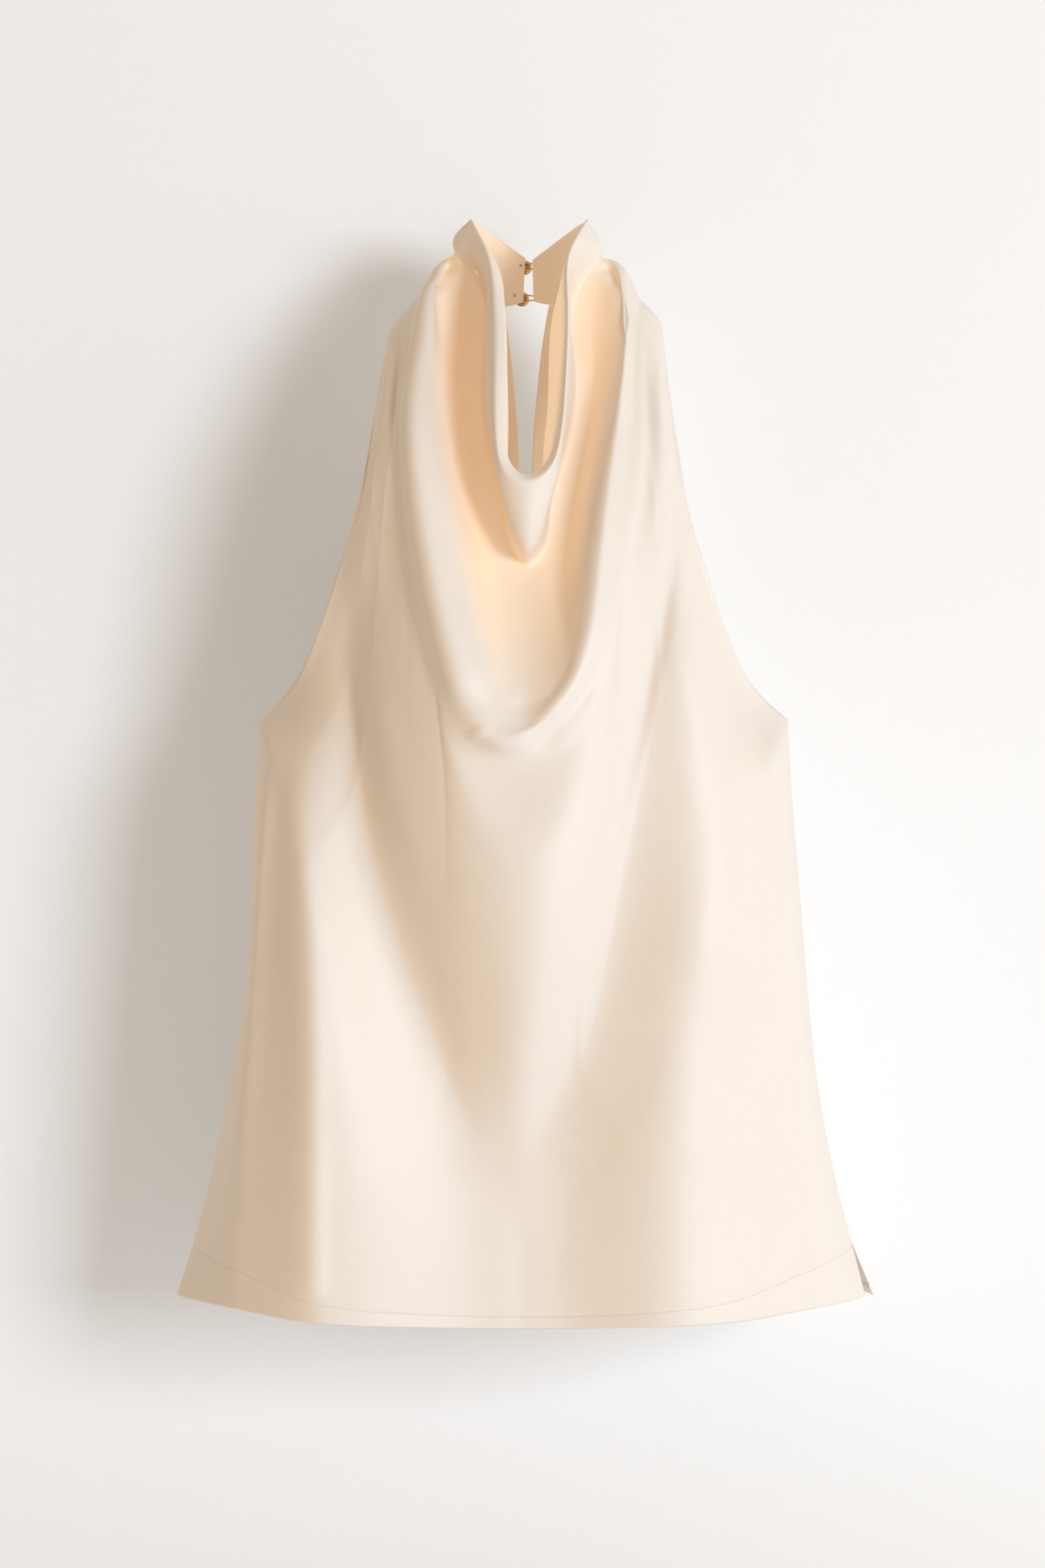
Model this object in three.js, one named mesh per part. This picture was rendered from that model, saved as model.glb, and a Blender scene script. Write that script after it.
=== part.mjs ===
import * as THREE from "three";

// Sizes in millimetres
const WALL = 1.4;
const SEAM = 0.3;
const NECK_DEPTH = 25;
const EYE = { x: -2, z: -310.6, away: 2600 };

// Edge shared by the front and the back, from the neck to the hem corner, as seen from the front
// Columns: left x and z, right x and z, depth of the front and of the back, how much the cloth rolls
// over there, and the ease added to the seam gap
const EDGE = [
  { at: "facing end", lx: -36.5, lz: 4, rx: 38, rz: 4, front: -2, back: 0, roll: 0, ease: 0 },
  { at: "facing middle", lx: -34.5, lz: 17, rx: 38, rz: 17, front: -6, back: 0, roll: 0, ease: 0 },
  { at: "neck peak", lx: -32.4, lz: 28, rx: 36.4, rz: 28, front: -8, back: -8, roll: 0, ease: 0.5 },
  { at: "first lobe", lx: -41, lz: 20, rx: 42, rz: 19, front: -3, back: -3, roll: 0.6, ease: 0.5 },
  { at: "first lobe foot", lx: -43.4, lz: 13, rx: 44.5, rz: 12, front: 0, back: 0, roll: 0.8, ease: 0.5 },
  { at: "first notch", lx: -43, lz: 7, rx: 46, rz: 5, front: 2, back: 2, roll: 0.8, ease: 0.5 },
  { at: "second lobe", lx: -53, lz: 0.5, rx: 57, rz: 1, front: 1, back: 1, roll: 0.8, ease: 0.5 },
  { at: "second lobe foot", lx: -60.5, lz: -13, rx: 66, rz: -15, front: 0, back: 0, roll: 0.8, ease: 0.5 },
  { at: "second notch", lx: -65.5, lz: -20, rx: 69.5, rz: -21, front: 1, back: 1, roll: 0.8, ease: 0.5 },
  { at: "third lobe", lx: -77, lz: -32, rx: 79, rz: -31, front: 1, back: 1, roll: 0.7, ease: 0.5 },
  { at: "shoulder point", lx: -82.5, lz: -43, rx: 82.5, rz: -44, front: -2, back: -2, roll: 0.4, ease: 0.5 },
  { at: "armhole 1", lx: -88.4, lz: -75, rx: 86, rz: -75, front: -26, back: 22, roll: 0, ease: 0 },
  { at: "armhole 2", lx: -98.8, lz: -131.6, rx: 94.8, rz: -131.6, front: -46, back: 50, roll: 0, ease: 0 },
  { at: "armhole 3", lx: -108.4, lz: -169, rx: 103.6, rz: -169, front: -48, back: 58, roll: 0, ease: 0 },
  { at: "armhole 4", lx: -127.2, lz: -226, rx: 122.8, rz: -226, front: -41, back: 50, roll: 0, ease: 0 },
  { at: "armhole 5", lx: -143, lz: -256, rx: 139, rz: -255.5, front: -25, back: 26, roll: 0, ease: 0 },
  { at: "underarm", lx: -160, lz: -274, rx: 157, rz: -272, front: 0, back: 0, roll: 0.5, ease: 0.2 },
  { at: "side 1", lx: -162.5, lz: -330, rx: 160.3, rz: -330, front: 0, back: 0, roll: 1, ease: 0 },
  { at: "side 2", lx: -165.2, lz: -405, rx: 166.4, rz: -405, front: 0, back: 0, roll: 1, ease: 0 },
  { at: "side 3", lx: -176, lz: -485, rx: 174, rz: -485, front: 0, back: 0, roll: 1, ease: 0 },
  { at: "side 4", lx: -192, lz: -560, rx: 188.5, rz: -560, front: 0, back: 0, roll: 1, ease: 0 },
  { at: "hem corner", lx: -208.8, lz: -616.4, rx: 205, rz: -617, front: 0, back: 0, roll: 1, ease: 0 },
];
const CORNERS = [0, 2, 16, 21];
const SMOOTH = ["lx", "lz", "rx", "rz"];

// Folds of the front from the facing to the hem, each a curve hung from both edges
// Columns: place on the left and right edge, lowest z, bow, steps to the next fold,
// then x and depth at each share of the drop: down the left, at the middle and up the right
const DROP = [0.12, 0.3, 0.6, 0.85, 0.95, 1, 0.95, 0.85, 0.6, 0.3, 0.12];
const FOLDS = [
  { fold: "facing edge", left: 0, right: 0, low: -145, bow: 1, steps: 1,
    x: [-22, -14.8, -13.2, -11.6, -8.5, 0.4, 8.5, 10.4, 13.2, 14.8, 22],
    y: [-10, -20, -48, -60, -65, -68, -65, -60, -48, -20, -10] },
  { fold: "facing middle", left: 1, right: 1, low: -136, bow: 1, steps: 1,
    x: [-17.5, -13.2, -11.2, -11.2, -9, 0.4, 10.5, 14, 18, 19.6, 24],
    y: [-17, -33, -61, -73, -77, -79, -77, -73, -61, -33, -17] },
  { fold: "rim inside", left: 1.7, right: 1.7, low: -125.5, bow: 1, steps: 2,
    x: [-20.4, -13.2, -11.6, -12, -9.4, 0.4, 12, 17.6, 22, 23.6, 25],
    y: [-26, -47, -75, -87, -90, -91, -89, -85, -72, -44, -24] },
  { fold: "rim crest", left: 2.1, right: 2.1, low: -129, bow: 1, steps: 2,
    x: [-23.8, -19.2, -18.4, -17.6, -13.2, 0.4, 14.4, 20.4, 24.2, 25.2, 26.8],
    y: [-30, -51, -79, -91, -95, -96, -95, -91, -79, -50, -28] },
  { fold: "rim outside", left: 2.6, right: 2.6, low: -138, bow: 1, steps: 3,
    x: [-26, -23, -22.4, -19.6, -14, 0.4, 14.5, 20.6, 25.2, 26.2, 28],
    y: [-25, -45, -73, -87, -92, -95, -92, -87, -73, -45, -24] },
  { fold: "tongue", left: 3.4, right: 3.4, low: -168, bow: 1, steps: 2,
    x: [-25.6, -23.4, -22.6, -12.2, -8, 0.8, 9.5, 13.4, 24, 26.6, 28.4],
    y: [-16, -37, -64, -81, -86, -88, -86, -81, -64, -38, -17] },
  { fold: "first valley", left: 4.9, right: 4.9, low: -180, bow: 1, steps: 3,
    x: [-28, -25.5, -24.6, -13.2, -8.4, 0.8, 10.6, 14, 26, 29, 31],
    y: [-1, -12, -38, -56, -62, -65, -62, -56, -40, -15, -3] },
  { fold: "valley floor", left: 5.3, right: 5.3, low: -196, bow: 1, steps: 2,
    x: [-38, -38, -33, -22, -14, 0.4, 14.5, 22, 34, 41, 42],
    y: [-4, -16, -42, -62, -69, -73, -69, -61, -43, -19, -6] },
  { fold: "inner slope", left: 5.8, right: 5.8, low: -262, bow: 1, steps: 3,
    x: [-54.5, -54, -41.5, -27, -15, 0, 19, 29, 37.5, 52.5, 58],
    y: [-24, -50, -82, -102, -107, -110, -107, -101, -83, -50, -25] },
  { fold: "second ridge", left: 6.3, right: 6.3, low: -284, bow: 1, steps: 2,
    x: [-62.5, -68.5, -55.5, -39, -29, -15, 14, 33, 45.5, 56.5, 61],
    y: [-30, -64, -96, -112, -116, -118, -115, -110, -96, -65, -30] },
  { fold: "under the ridge", left: 8.5, right: 8.5, low: -298, bow: 1, steps: 5,
    x: [-74, -79, -68, -50, -39, -16, 26, 45, 58.5, 71, 71],
    y: [-30, -59, -88, -105, -109, -109, -108, -104, -92, -61, -31] },
  { fold: "bag", left: 11.5, right: 11.5, low: -360, bow: 1, steps: 6,
    x: [-92, -88, -72, -48, -31, -5.6, 22, 40, 58, 79, 87],
    y: [-54, -74, -94, -107, -112, -114, -111, -105, -94, -76, -54] },
  { fold: "long valley", left: 13.5, right: 12.7, low: -530, bow: 1, steps: 3,
    x: [-106, -99.5, -76.5, -47, -31, -8, 13, 32, 54, 80, 97],
    y: [-52, -62, -81, -95, -100, -103, -101, -97, -87, -68, -52] },
  { fold: "below the valley", left: 16, right: 16, low: -568, bow: 1, steps: 4,
    x: [-147, -134, -104, -60, -34, -3.6, 33, 58, 98, 131, 144],
    y: [-57, -84, -100, -106, -108, -109, -108, -105, -97, -80, -54] },
  { fold: "lower front", left: 18.6, right: 18.6, low: -608, bow: 1.3, steps: 4,
    x: [-170, -150, -128, -66, -33, -2.8, 30, 62, 118, 148, 167],
    y: [-36, -70, -99, -109, -112, -113, -112, -109, -97, -68, -36] },
  { fold: "hem", left: 21, right: 21, low: -637, bow: 2, steps: 0,
    x: [-194, -166, -128, -66, -33, -1.6, 30, 62, 122, 162, 190],
    y: [-24, -58, -98, -110, -114, -115, -114, -110, -97, -60, -26] },
];
// Cuts across the lower front, through its ridges and troughs
// Columns: z, then x and depth at the left roll, left ridge, left trough, left flank, middle,
// right trough, right ridge and right roll
const SECTIONS = [
  { z: -200, x: [-114, -108, -101, -84, 0, 84, 94, 106],
    y: [-43, -47, -54, -72, -112, -82, -78, -60] },
  { z: -240, x: [-134, -118, -108, -87, 2, 84, 105, 126],
    y: [-40, -47, -51, -80, -116, -88, -87, -58] },
  { z: -285, x: [-152, -126, -107, -80, 4, 82, 106, 145],
    y: [-44, -64, -61, -91, -118, -90, -92, -62] },
  { z: -333, x: [-156, -128, -102, -65, 6, 77, 104, 148],
    y: [-54, -75, -70, -99, -118, -92, -97, -66] },
  { z: -400, x: [-158, -124, -84, -47, 6, 58, 100, 152],
    y: [-58, -87, -75, -94, -110, -92, -102, -70] },
  { z: -464, x: [-160, -122, -58, -30, 0, 40, 92, 158],
    y: [-64, -94, -75, -85, -94, -85, -95, -68] },
  { z: -520, x: [-168, -121, -36, -20, -2, 12, 88, 164],
    y: [-64, -97, -79, -80, -81, -80, -94, -66] },
  { z: -580, x: [-180, -121, -30, -15, 0, 14, 86, 174],
    y: [-60, -99, -84, -83, -82, -82, -93, -62] },
  { z: -640, x: [-190, -121, -28, -14, 0, 14, 86, 182],
    y: [-56, -100, -86, -85, -84, -84, -94, -60] },
];
// The folds between which the cloth comes to these cuts, and how far from the side edges
const SETTLED = [10.3, 12];
const ROLLED = [4, 60];
const COLUMNS_PER_STATION = 4;
const BACK_COLUMNS = 16;

// Cross rows of the back, from under the neckband to the hem
// Columns: place on the edge, z and depth at the middle, how square the curve is, steps to the next row
const BACK_ROWS = [
  { row: "neck edge", at: 5.2, z: -23.8, y: 57, square: 2, steps: 3 },
  { row: "shoulder", at: 8, z: -52, y: 66, square: 2, steps: 3 },
  { row: "shoulder point", at: 10, z: -88, y: 76, square: 2, steps: 4 },
  { row: "armhole top", at: 12, z: -140, y: 90, square: 1.6, steps: 4 },
  { row: "slit end", at: 14, z: -205, y: 99, square: 1.3, steps: 4 },
  { row: "underarm", at: 16, z: -274, y: 100, square: 2, steps: 6 },
  { row: "waist", at: 18.5, z: -430, y: 97, square: 2, steps: 6 },
  { row: "hem", at: 21, z: -609, y: 115, square: 2, steps: 0 },
];
// Short openings at the foot of the side seams: how far each corner moves in x and y
const SIDE_SLIT = {
  top: -581.6,
  height: 35.4,
  spread: 1.2,
  left: { front: [0, -2.5], back: [2.5, 2.5] },
  right: { front: [-1.8, -5], back: [3.8, 2] },
};

// Neckband halves, from the front to the ends at the middle of the back
// Columns: x and z of the upper edge, x and z of the lower edge, depth
const LEFT_BAND = [
  { tx: -35, tz: 24, bx: -43.5, bz: -1, y: 12 },
  { tx: -33.5, tz: 26, bx: -39.5, bz: -9.5, y: 32 },
  { tx: -24.5, tz: 22.2, bx: -28, bz: -18, y: 48 },
  { tx: -12.8, tz: 13.6, bx: -13, bz: -23.6, y: 56 },
  { tx: -0.8, tz: 4.8, bx: -2, bz: -21, y: 58 },
];
const RIGHT_BAND = [
  { tx: 38.5, tz: 24, bx: 46, bz: -1, y: 12 },
  { tx: 36, tz: 26, bx: 42, bz: -9, y: 32 },
  { tx: 27, tz: 20.8, bx: 30, bz: -17.5, y: 48 },
  { tx: 15, tz: 11.7, bx: 14.4, bz: -22.4, y: 56 },
  { tx: 4.4, tz: 3.6, bx: 5, bz: -20.6, y: 58 },
];
const BAND_STEPS = 4;
const BAND_ROWS = 6;
const BAND_START = { top: 2, low: 5, ease: 0.6 };
// The stretch of the band where the back opening meets it, and the seam under the band
const OPEN_FROM = 4;
const NECK_SEAM = 0.9;

// Half width of the back opening
const SLIT_CLOSED = 0.15;
const SLIT = [
  { z: -23.8, half: 13.4 },
  { z: -48, half: 10.2 },
  { z: -67, half: 8 },
  { z: -103, half: 4.8 },
  { z: -140, half: 3.2 },
  { z: -205, half: 0 },
];

// Ball buttons with a shank, on the outside of the left band, and the thread loops that hold them
const FASTENERS = [
  { name: "upper", x: -2, z: 0 },
  { name: "lower", x: -3.6, z: -19 },
];
const BUTTON = { radius: 4.6, shank: 1, base: 59.2, height: 5.9, tilt: 0.22, rings: 9, segments: 18 };
const LOOP = { thread: 1, halfWidth: 1.7, reach: 13, y: 59.5, steps: 28, sides: 3 };

function slopes(t, v, first, last) {
  const n = t.length;
  const a = Array(n).fill(0);
  const b = Array(n).fill(1);
  const c = Array(n).fill(0);
  const d = Array(n).fill(0);
  for (let i = 1; i < n - 1; i++) {
    const h0 = t[i] - t[i - 1];
    const h1 = t[i + 1] - t[i];
    a[i] = h1;
    b[i] = 2 * (h0 + h1);
    c[i] = h0;
    d[i] = 3 * ((h1 * (v[i] - v[i - 1])) / h0 + (h0 * (v[i + 1] - v[i])) / h1);
  }
  if (first === undefined) {
    b[0] = 2;
    c[0] = 1;
    d[0] = (3 * (v[1] - v[0])) / (t[1] - t[0]);
  } else {
    d[0] = first;
  }
  if (last === undefined) {
    a[n - 1] = 1;
    b[n - 1] = 2;
    d[n - 1] = (3 * (v[n - 1] - v[n - 2])) / (t[n - 1] - t[n - 2]);
  } else {
    d[n - 1] = last;
  }
  for (let i = 1; i < n; i++) {
    const m = a[i] / b[i - 1];
    b[i] -= m * c[i - 1];
    d[i] -= m * d[i - 1];
  }
  const s = Array(n);
  s[n - 1] = d[n - 1] / b[n - 1];
  for (let i = n - 2; i >= 0; i--) s[i] = (d[i] - c[i] * s[i + 1]) / b[i];
  return s;
}

function hermite(t, v, s, x) {
  let i = 0;
  while (i < t.length - 2 && x > t[i + 1]) i++;
  const h = t[i + 1] - t[i];
  const q = (x - t[i]) / h;
  return (
    v[i] * (1 + 2 * q) * (1 - q) ** 2 + s[i] * h * q * (1 - q) ** 2 +
    v[i + 1] * q * q * (3 - 2 * q) + s[i + 1] * h * q * q * (q - 1)
  );
}

function spline(t, v, first, last) {
  const s = slopes(t, v, first, last);
  return (x) => hermite(t, v, s, x);
}

// A curve through the values that never turns back between them
function steady(t, v) {
  const n = t.length;
  const step = t.slice(1).map((x, i) => (v[i + 1] - v[i]) / (x - t[i]));
  const s = v.map((_, i) => {
    if (i === 0) return step[0];
    if (i === n - 1) return step[n - 2];
    return step[i - 1] * step[i] <= 0 ? 0 : (2 * step[i - 1] * step[i]) / (step[i - 1] + step[i]);
  });
  return (x) => hermite(t, v, s, x);
}

// A soft step from 0 to 1
function smooth(low, high, x) {
  const t = Math.min(Math.max((x - low) / (high - low), 0), 1);
  return t * t * (3 - 2 * t);
}

function place(x, y, z) {
  const near = 1 + y / EYE.away;
  return new THREE.Vector3(
    EYE.x + (x - EYE.x) * near, y - NECK_DEPTH, EYE.z + (z - EYE.z) * near);
}

function edgeCurve(name) {
  const parts = [];
  for (let k = 0; k + 1 < CORNERS.length; k++) {
    const rows = EDGE.slice(CORNERS[k], CORNERS[k + 1] + 1);
    const t = rows.map((_, i) => CORNERS[k] + i);
    const values = rows.map((r) => r[name]);
    parts.push({ end: CORNERS[k + 1], at: SMOOTH.includes(name) ? spline(t, values) : steady(t, values) });
  }
  return (x) => (parts.find((p) => x <= p.end) ?? parts[parts.length - 1]).at(x);
}

const edge = Object.fromEntries(
  [...SMOOTH, "front", "back", "roll", "ease"].map((name) => [name, edgeCurve(name)]));

// A point on the shared edge, half the seam gap away from it, and apart where the side is slit
function sideEdge(side, panel, at) {
  const z = edge[side === "left" ? "lz" : "rz"](at);
  const x = edge[side === "left" ? "lx" : "rx"](at);
  const open = Math.max(0, (SIDE_SLIT.top - z) / SIDE_SLIT.height) ** SIDE_SLIT.spread;
  const [dx, dy] = SIDE_SLIT[side][panel];
  const gap = panel === "front" ? -SEAM / 2 : SEAM / 2 + edge.ease(at);
  return place(x + dx * open, edge[panel](at) + gap + dy * open, z);
}

// Cloth of even thickness on a net of four-sided meshes, closed round its open edges
function shell(points, quads, wall) {
  const normals = points.map(() => new THREE.Vector3());
  const ab = new THREE.Vector3();
  const ac = new THREE.Vector3();
  for (const q of quads) {
    for (const [i, j, k] of [[0, 1, 2], [0, 2, 3]]) {
      ab.subVectors(points[q[j]], points[q[i]]);
      ac.subVectors(points[q[k]], points[q[i]]);
      ab.cross(ac);
      for (const m of [i, j, k]) normals[q[m]].add(ab);
    }
  }
  const n = points.length;
  const flat = [];
  for (const side of [0.5, -0.5]) {
    points.forEach((p, i) => {
      const out = normals[i].clone().normalize().multiplyScalar(side * wall);
      flat.push(p.x + out.x, p.y + out.y, p.z + out.z);
    });
  }
  const index = [];
  const sides = new Map();
  for (const [a, b, c, d] of quads) {
    index.push(a, b, c, a, c, d);
    index.push(n + a, n + c, n + b, n + a, n + d, n + c);
    for (const [p, q] of [[a, b], [b, c], [c, d], [d, a]]) {
      const back = `${q},${p}`;
      if (sides.has(back)) sides.delete(back);
      else sides.set(`${p},${q}`, [p, q]);
    }
  }
  for (const [p, q] of sides.values()) index.push(q, p, n + p, q, n + p, n + q);
  const geometry = new THREE.BufferGeometry();
  geometry.setAttribute("position", new THREE.Float32BufferAttribute(flat, 3));
  geometry.setIndex(index);
  return geometry;
}

function frontPoints() {
  const reach = [0];
  for (let i = 1; i < FOLDS.length; i++) {
    let sum = 0;
    for (let k = 0; k < DROP.length; k++) {
      const a = FOLDS[i - 1];
      const b = FOLDS[i];
      sum += Math.hypot(b.x[k] - a.x[k], b.y[k] - a.y[k], (b.low - a.low) * DROP[k]);
    }
    reach.push(reach[i - 1] + sum / DROP.length);
  }
  const column = (pick) => FOLDS.map(pick);
  const left = steady(reach, column((f) => f.left));
  const right = steady(reach, column((f) => f.right));
  const low = steady(reach, column((f) => f.low));
  const bow = steady(reach, column((f) => f.bow));
  const xs = DROP.map((_, k) => steady(reach, column((f) => f.x[k])));
  const ys = DROP.map((_, k) => steady(reach, column((f) => f.y[k])));
  const rows = [];
  FOLDS.forEach((fold, i) => {
    const count = Math.max(fold.steps, 1);
    for (let j = 0; j < count && (fold.steps || j === 0); j++) {
      const span = i + 1 < FOLDS.length ? reach[i + 1] - reach[i] : 0;
      rows.push(reach[i] + (span * j) / count);
    }
  });
  const foldAt = steady(reach, FOLDS.map((_, i) => i));
  const half = (DROP.length - 1) / 2;
  return rows.map((t) => {
    const l = left(t);
    const r = right(t);
    const lz = edge.lz(l);
    const rz = edge.rz(r);
    const stations = [sideEdge("left", "front", l)];
    DROP.forEach((drop, k) => {
      const share = 1 - (1 - drop) ** bow(t);
      const top = k < half ? lz : rz;
      const z = k === half ? low(t) : top + (low(t) - top) * share;
      stations.push(place(xs[k](t), ys[k](t), z));
    });
    stations.push(sideEdge("right", "front", r));
    return settle(across(stations, edge.roll(l), edge.roll(r), -1), foldAt(t));
  });
}

const levels = SECTIONS.map((cut) => -cut.z);
const cutX = SECTIONS[0].x.map((_, k) => steady(levels, SECTIONS.map((cut) => cut.x[k])));
const cutY = SECTIONS[0].y.map((_, k) => steady(levels, SECTIONS.map((cut) => cut.y[k])));

// Depth of the lower front at a place as seen from the front
function cutDepth(x, z) {
  const down = Math.min(Math.max(-z, levels[0]), levels[levels.length - 1]);
  const knots = cutX.map((c) => c(down));
  const inside = Math.min(Math.max(x, knots[0]), knots[knots.length - 1]);
  return steady(knots, cutY.map((c) => c(down)))(inside);
}

// Brings a row of the front to the cuts of the lower front, away from its side edges
function settle(points, fold) {
  const along = [0];
  for (let i = 1; i < points.length; i++) {
    along.push(along[i - 1] + points[i].distanceTo(points[i - 1]));
  }
  const whole = along[along.length - 1];
  return points.map((p, i) => {
    const inwards = Math.min(along[i], whole - along[i]);
    const share = smooth(...SETTLED, fold) * smooth(...ROLLED, inwards);
    const y = p.y + NECK_DEPTH;
    const near = 1 + y / EYE.away;
    const x = EYE.x + (p.x - EYE.x) / near;
    const z = EYE.z + (p.z - EYE.z) / near;
    return place(x, y + (cutDepth(x, z) - y) * share, z);
  });
}

// A smooth curve through the stations; at a rolled edge it leaves straight forward or back
function across(stations, rollStart, rollEnd, way) {
  const t = [0];
  for (let i = 1; i < stations.length; i++) {
    t.push(t[i - 1] + stations[i].distanceTo(stations[i - 1]));
  }
  const n = stations.length;
  const start = stations[1].clone().sub(stations[0]).normalize();
  start.lerp(new THREE.Vector3(0, way, 0), rollStart).normalize();
  const end = stations[n - 1].clone().sub(stations[n - 2]).normalize();
  end.lerp(new THREE.Vector3(0, -way, 0), rollEnd).normalize();
  const curve = ["x", "y", "z"].map((c) =>
    spline(t, stations.map((p) => p[c]), start[c], end[c]));
  const points = [];
  for (let i = 0; i + 1 < n; i++) {
    for (let j = 0; j < COLUMNS_PER_STATION || (i === n - 2 && j === COLUMNS_PER_STATION); j++) {
      const at = t[i] + ((t[i + 1] - t[i]) * j) / COLUMNS_PER_STATION;
      points.push(new THREE.Vector3(...curve.map((c) => c(at))));
    }
  }
  return points;
}

// The line round the neck at a share of the way down the band: its place at each stretch of the table
function bandLine(side, table, down) {
  const at = BAND_START.top + (BAND_START.low - BAND_START.top) * down;
  const prefix = side === "left" ? "l" : "r";
  const line = [new THREE.Vector3(
    edge[`${prefix}x`](at), edge.back(at) + SEAM / 2 + BAND_START.ease, edge[`${prefix}z`](at))];
  for (const row of table) {
    line.push(new THREE.Vector3(
      row.tx + (row.bx - row.tx) * down, row.y, row.tz + (row.bz - row.tz) * down));
  }
  const along = [0];
  for (let i = 1; i < line.length; i++) {
    along.push(along[i - 1] + line[i].distanceTo(line[i - 1]));
  }
  const curve = ["x", "y", "z"].map((c) => spline(along, line.map((p) => p[c])));
  return (stretch) => {
    const i = Math.min(Math.floor(stretch), along.length - 2);
    const s = along[i] + (along[i + 1] - along[i]) * (stretch - i);
    return place(...curve.map((c) => c(s)));
  };
}

function bandPoints(side, table) {
  const rows = [];
  for (let q = 0; q <= BAND_ROWS; q++) {
    const line = bandLine(side, table, q / BAND_ROWS);
    const points = [];
    for (let i = 0; i <= table.length * BAND_STEPS; i++) points.push(line(i / BAND_STEPS));
    rows.push(side === "left" ? points : points.reverse());
  }
  return rows;
}

function backPoints() {
  const t = BACK_ROWS.map((_, i) => i);
  const at = steady(t, BACK_ROWS.map((r) => r.at));
  const zMid = steady(t, BACK_ROWS.map((r) => r.z));
  const yMid = spline(t, BACK_ROWS.map((r) => r.y));
  const square = steady(t, BACK_ROWS.map((r) => r.square));
  const half = steady(SLIT.map((r) => -r.z), SLIT.map((r) => r.half));
  const slitFoot = -SLIT[SLIT.length - 1].z;
  const rows = [];
  BACK_ROWS.forEach((row, i) => {
    for (let j = 0; j < Math.max(row.steps, 1); j++) {
      rows.push(i + (row.steps ? j / row.steps : 0));
    }
  });
  return rows.map((s) => {
    const z = zMid(s);
    const open = -z < slitFoot ? Math.max(half(-z), SLIT_CLOSED) : 0;
    const sides = ["left", "right"].map((side) => {
      const hang = sideEdge(side, "back", at(s));
      const middle = place(0, yMid(s), z);
      const wide = Math.abs(hang.x - middle.x);
      const inner = Math.asin(Math.min(open / wide, 1));
      const points = [];
      const neck = bandLine(side, side === "left" ? LEFT_BAND : RIGHT_BAND, 1);
      const share = Math.min(s, 1);
      for (let j = 0; j <= BACK_COLUMNS; j++) {
        const angle = inner + ((Math.PI / 2 - inner) * (BACK_COLUMNS - j)) / BACK_COLUMNS;
        const r = Math.sin(angle);
        const point = new THREE.Vector3(
          middle.x + (hang.x - middle.x) * r,
          hang.y + (middle.y - hang.y) * Math.max(1 - r * r, 0) ** (1 / square(s)),
          middle.z + (hang.z - middle.z) * r * r);
        const under = neck((OPEN_FROM * j) / BACK_COLUMNS);
        under.z -= NECK_SEAM;
        points.push(under.lerp(point, share));
      }
      return points;
    });
    return { left: sides[0], right: sides[1].reverse(), open };
  });
}

function gridShell(rows, wall) {
  const width = rows[0].length;
  const quads = [];
  for (let i = 0; i + 1 < rows.length; i++) {
    for (let j = 0; j + 1 < width; j++) {
      const a = i * width + j;
      quads.push([a + 1, a, a + width, a + width + 1]);
    }
  }
  return shell(rows.flat(), quads, wall);
}

function backShell(rows, wall) {
  const points = [];
  const index = rows.map(({ left, right, open }) => {
    const l = left.map((p) => points.push(p) - 1);
    const r = right.map((p, j) => (j === 0 && open === 0 ? l[l.length - 1] : points.push(p) - 1));
    return [l, r];
  });
  const quads = [];
  for (let i = 0; i + 1 < rows.length; i++) {
    for (const k of [0, 1]) {
      for (let j = 0; j < BACK_COLUMNS; j++) {
        const [a, b] = [index[i][k], index[i + 1][k]];
        quads.push([a[j], a[j + 1], b[j + 1], b[j]]);
      }
    }
  }
  return shell(points, quads, wall);
}

function ball(x, z) {
  const { radius, shank, rings, segments, height, base, tilt } = BUTTON;
  const profile = [new THREE.Vector2(0, 0), new THREE.Vector2(shank, 0)];
  const first = Math.asin(shank / radius);
  for (let i = 0; i <= rings; i++) {
    const a = first + ((Math.PI - first) * i) / rings;
    const r = i === rings ? 0 : radius * Math.sin(a);
    profile.push(new THREE.Vector2(r, height - radius * Math.cos(a)));
  }
  const geometry = new THREE.LatheGeometry(profile, segments);
  geometry.rotateZ(-tilt);
  const at = place(x, base, z);
  geometry.translate(at.x, at.y, at.z);
  return geometry;
}

function buttonLoop(x, z) {
  const at = place(x, LOOP.y, z);
  const w = LOOP.halfWidth;
  const path = new THREE.CatmullRomCurve3([
    new THREE.Vector3(at.x + LOOP.reach, at.y, at.z + w),
    new THREE.Vector3(at.x + LOOP.reach / 2, at.y, at.z + w),
    new THREE.Vector3(at.x, at.y, at.z + w),
    new THREE.Vector3(at.x - w, at.y, at.z),
    new THREE.Vector3(at.x, at.y, at.z - w),
    new THREE.Vector3(at.x + LOOP.reach / 2, at.y, at.z - w),
    new THREE.Vector3(at.x + LOOP.reach, at.y, at.z - w),
  ]);
  const section = new THREE.Shape();
  section.absarc(0, 0, LOOP.thread / 2, 0, 2 * Math.PI);
  return new THREE.ExtrudeGeometry(section, {
    extrudePath: path, steps: LOOP.steps, curveSegments: LOOP.sides, bevelEnabled: false });
}

const cloth = new THREE.MeshStandardMaterial({ color: 0xf1e6d6, roughness: 0.42, metalness: 0 });
const gold = new THREE.MeshStandardMaterial({ color: 0xc98f45, roughness: 0.18, metalness: 1 });
const thread = new THREE.MeshStandardMaterial({ color: 0xeadfce, roughness: 0.7, metalness: 0 });

const group = new THREE.Group();
function add(name, geometry, material) {
  geometry.computeVertexNormals();
  const mesh = new THREE.Mesh(geometry, material.clone());
  mesh.name = name;
  group.add(mesh);
}

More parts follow.
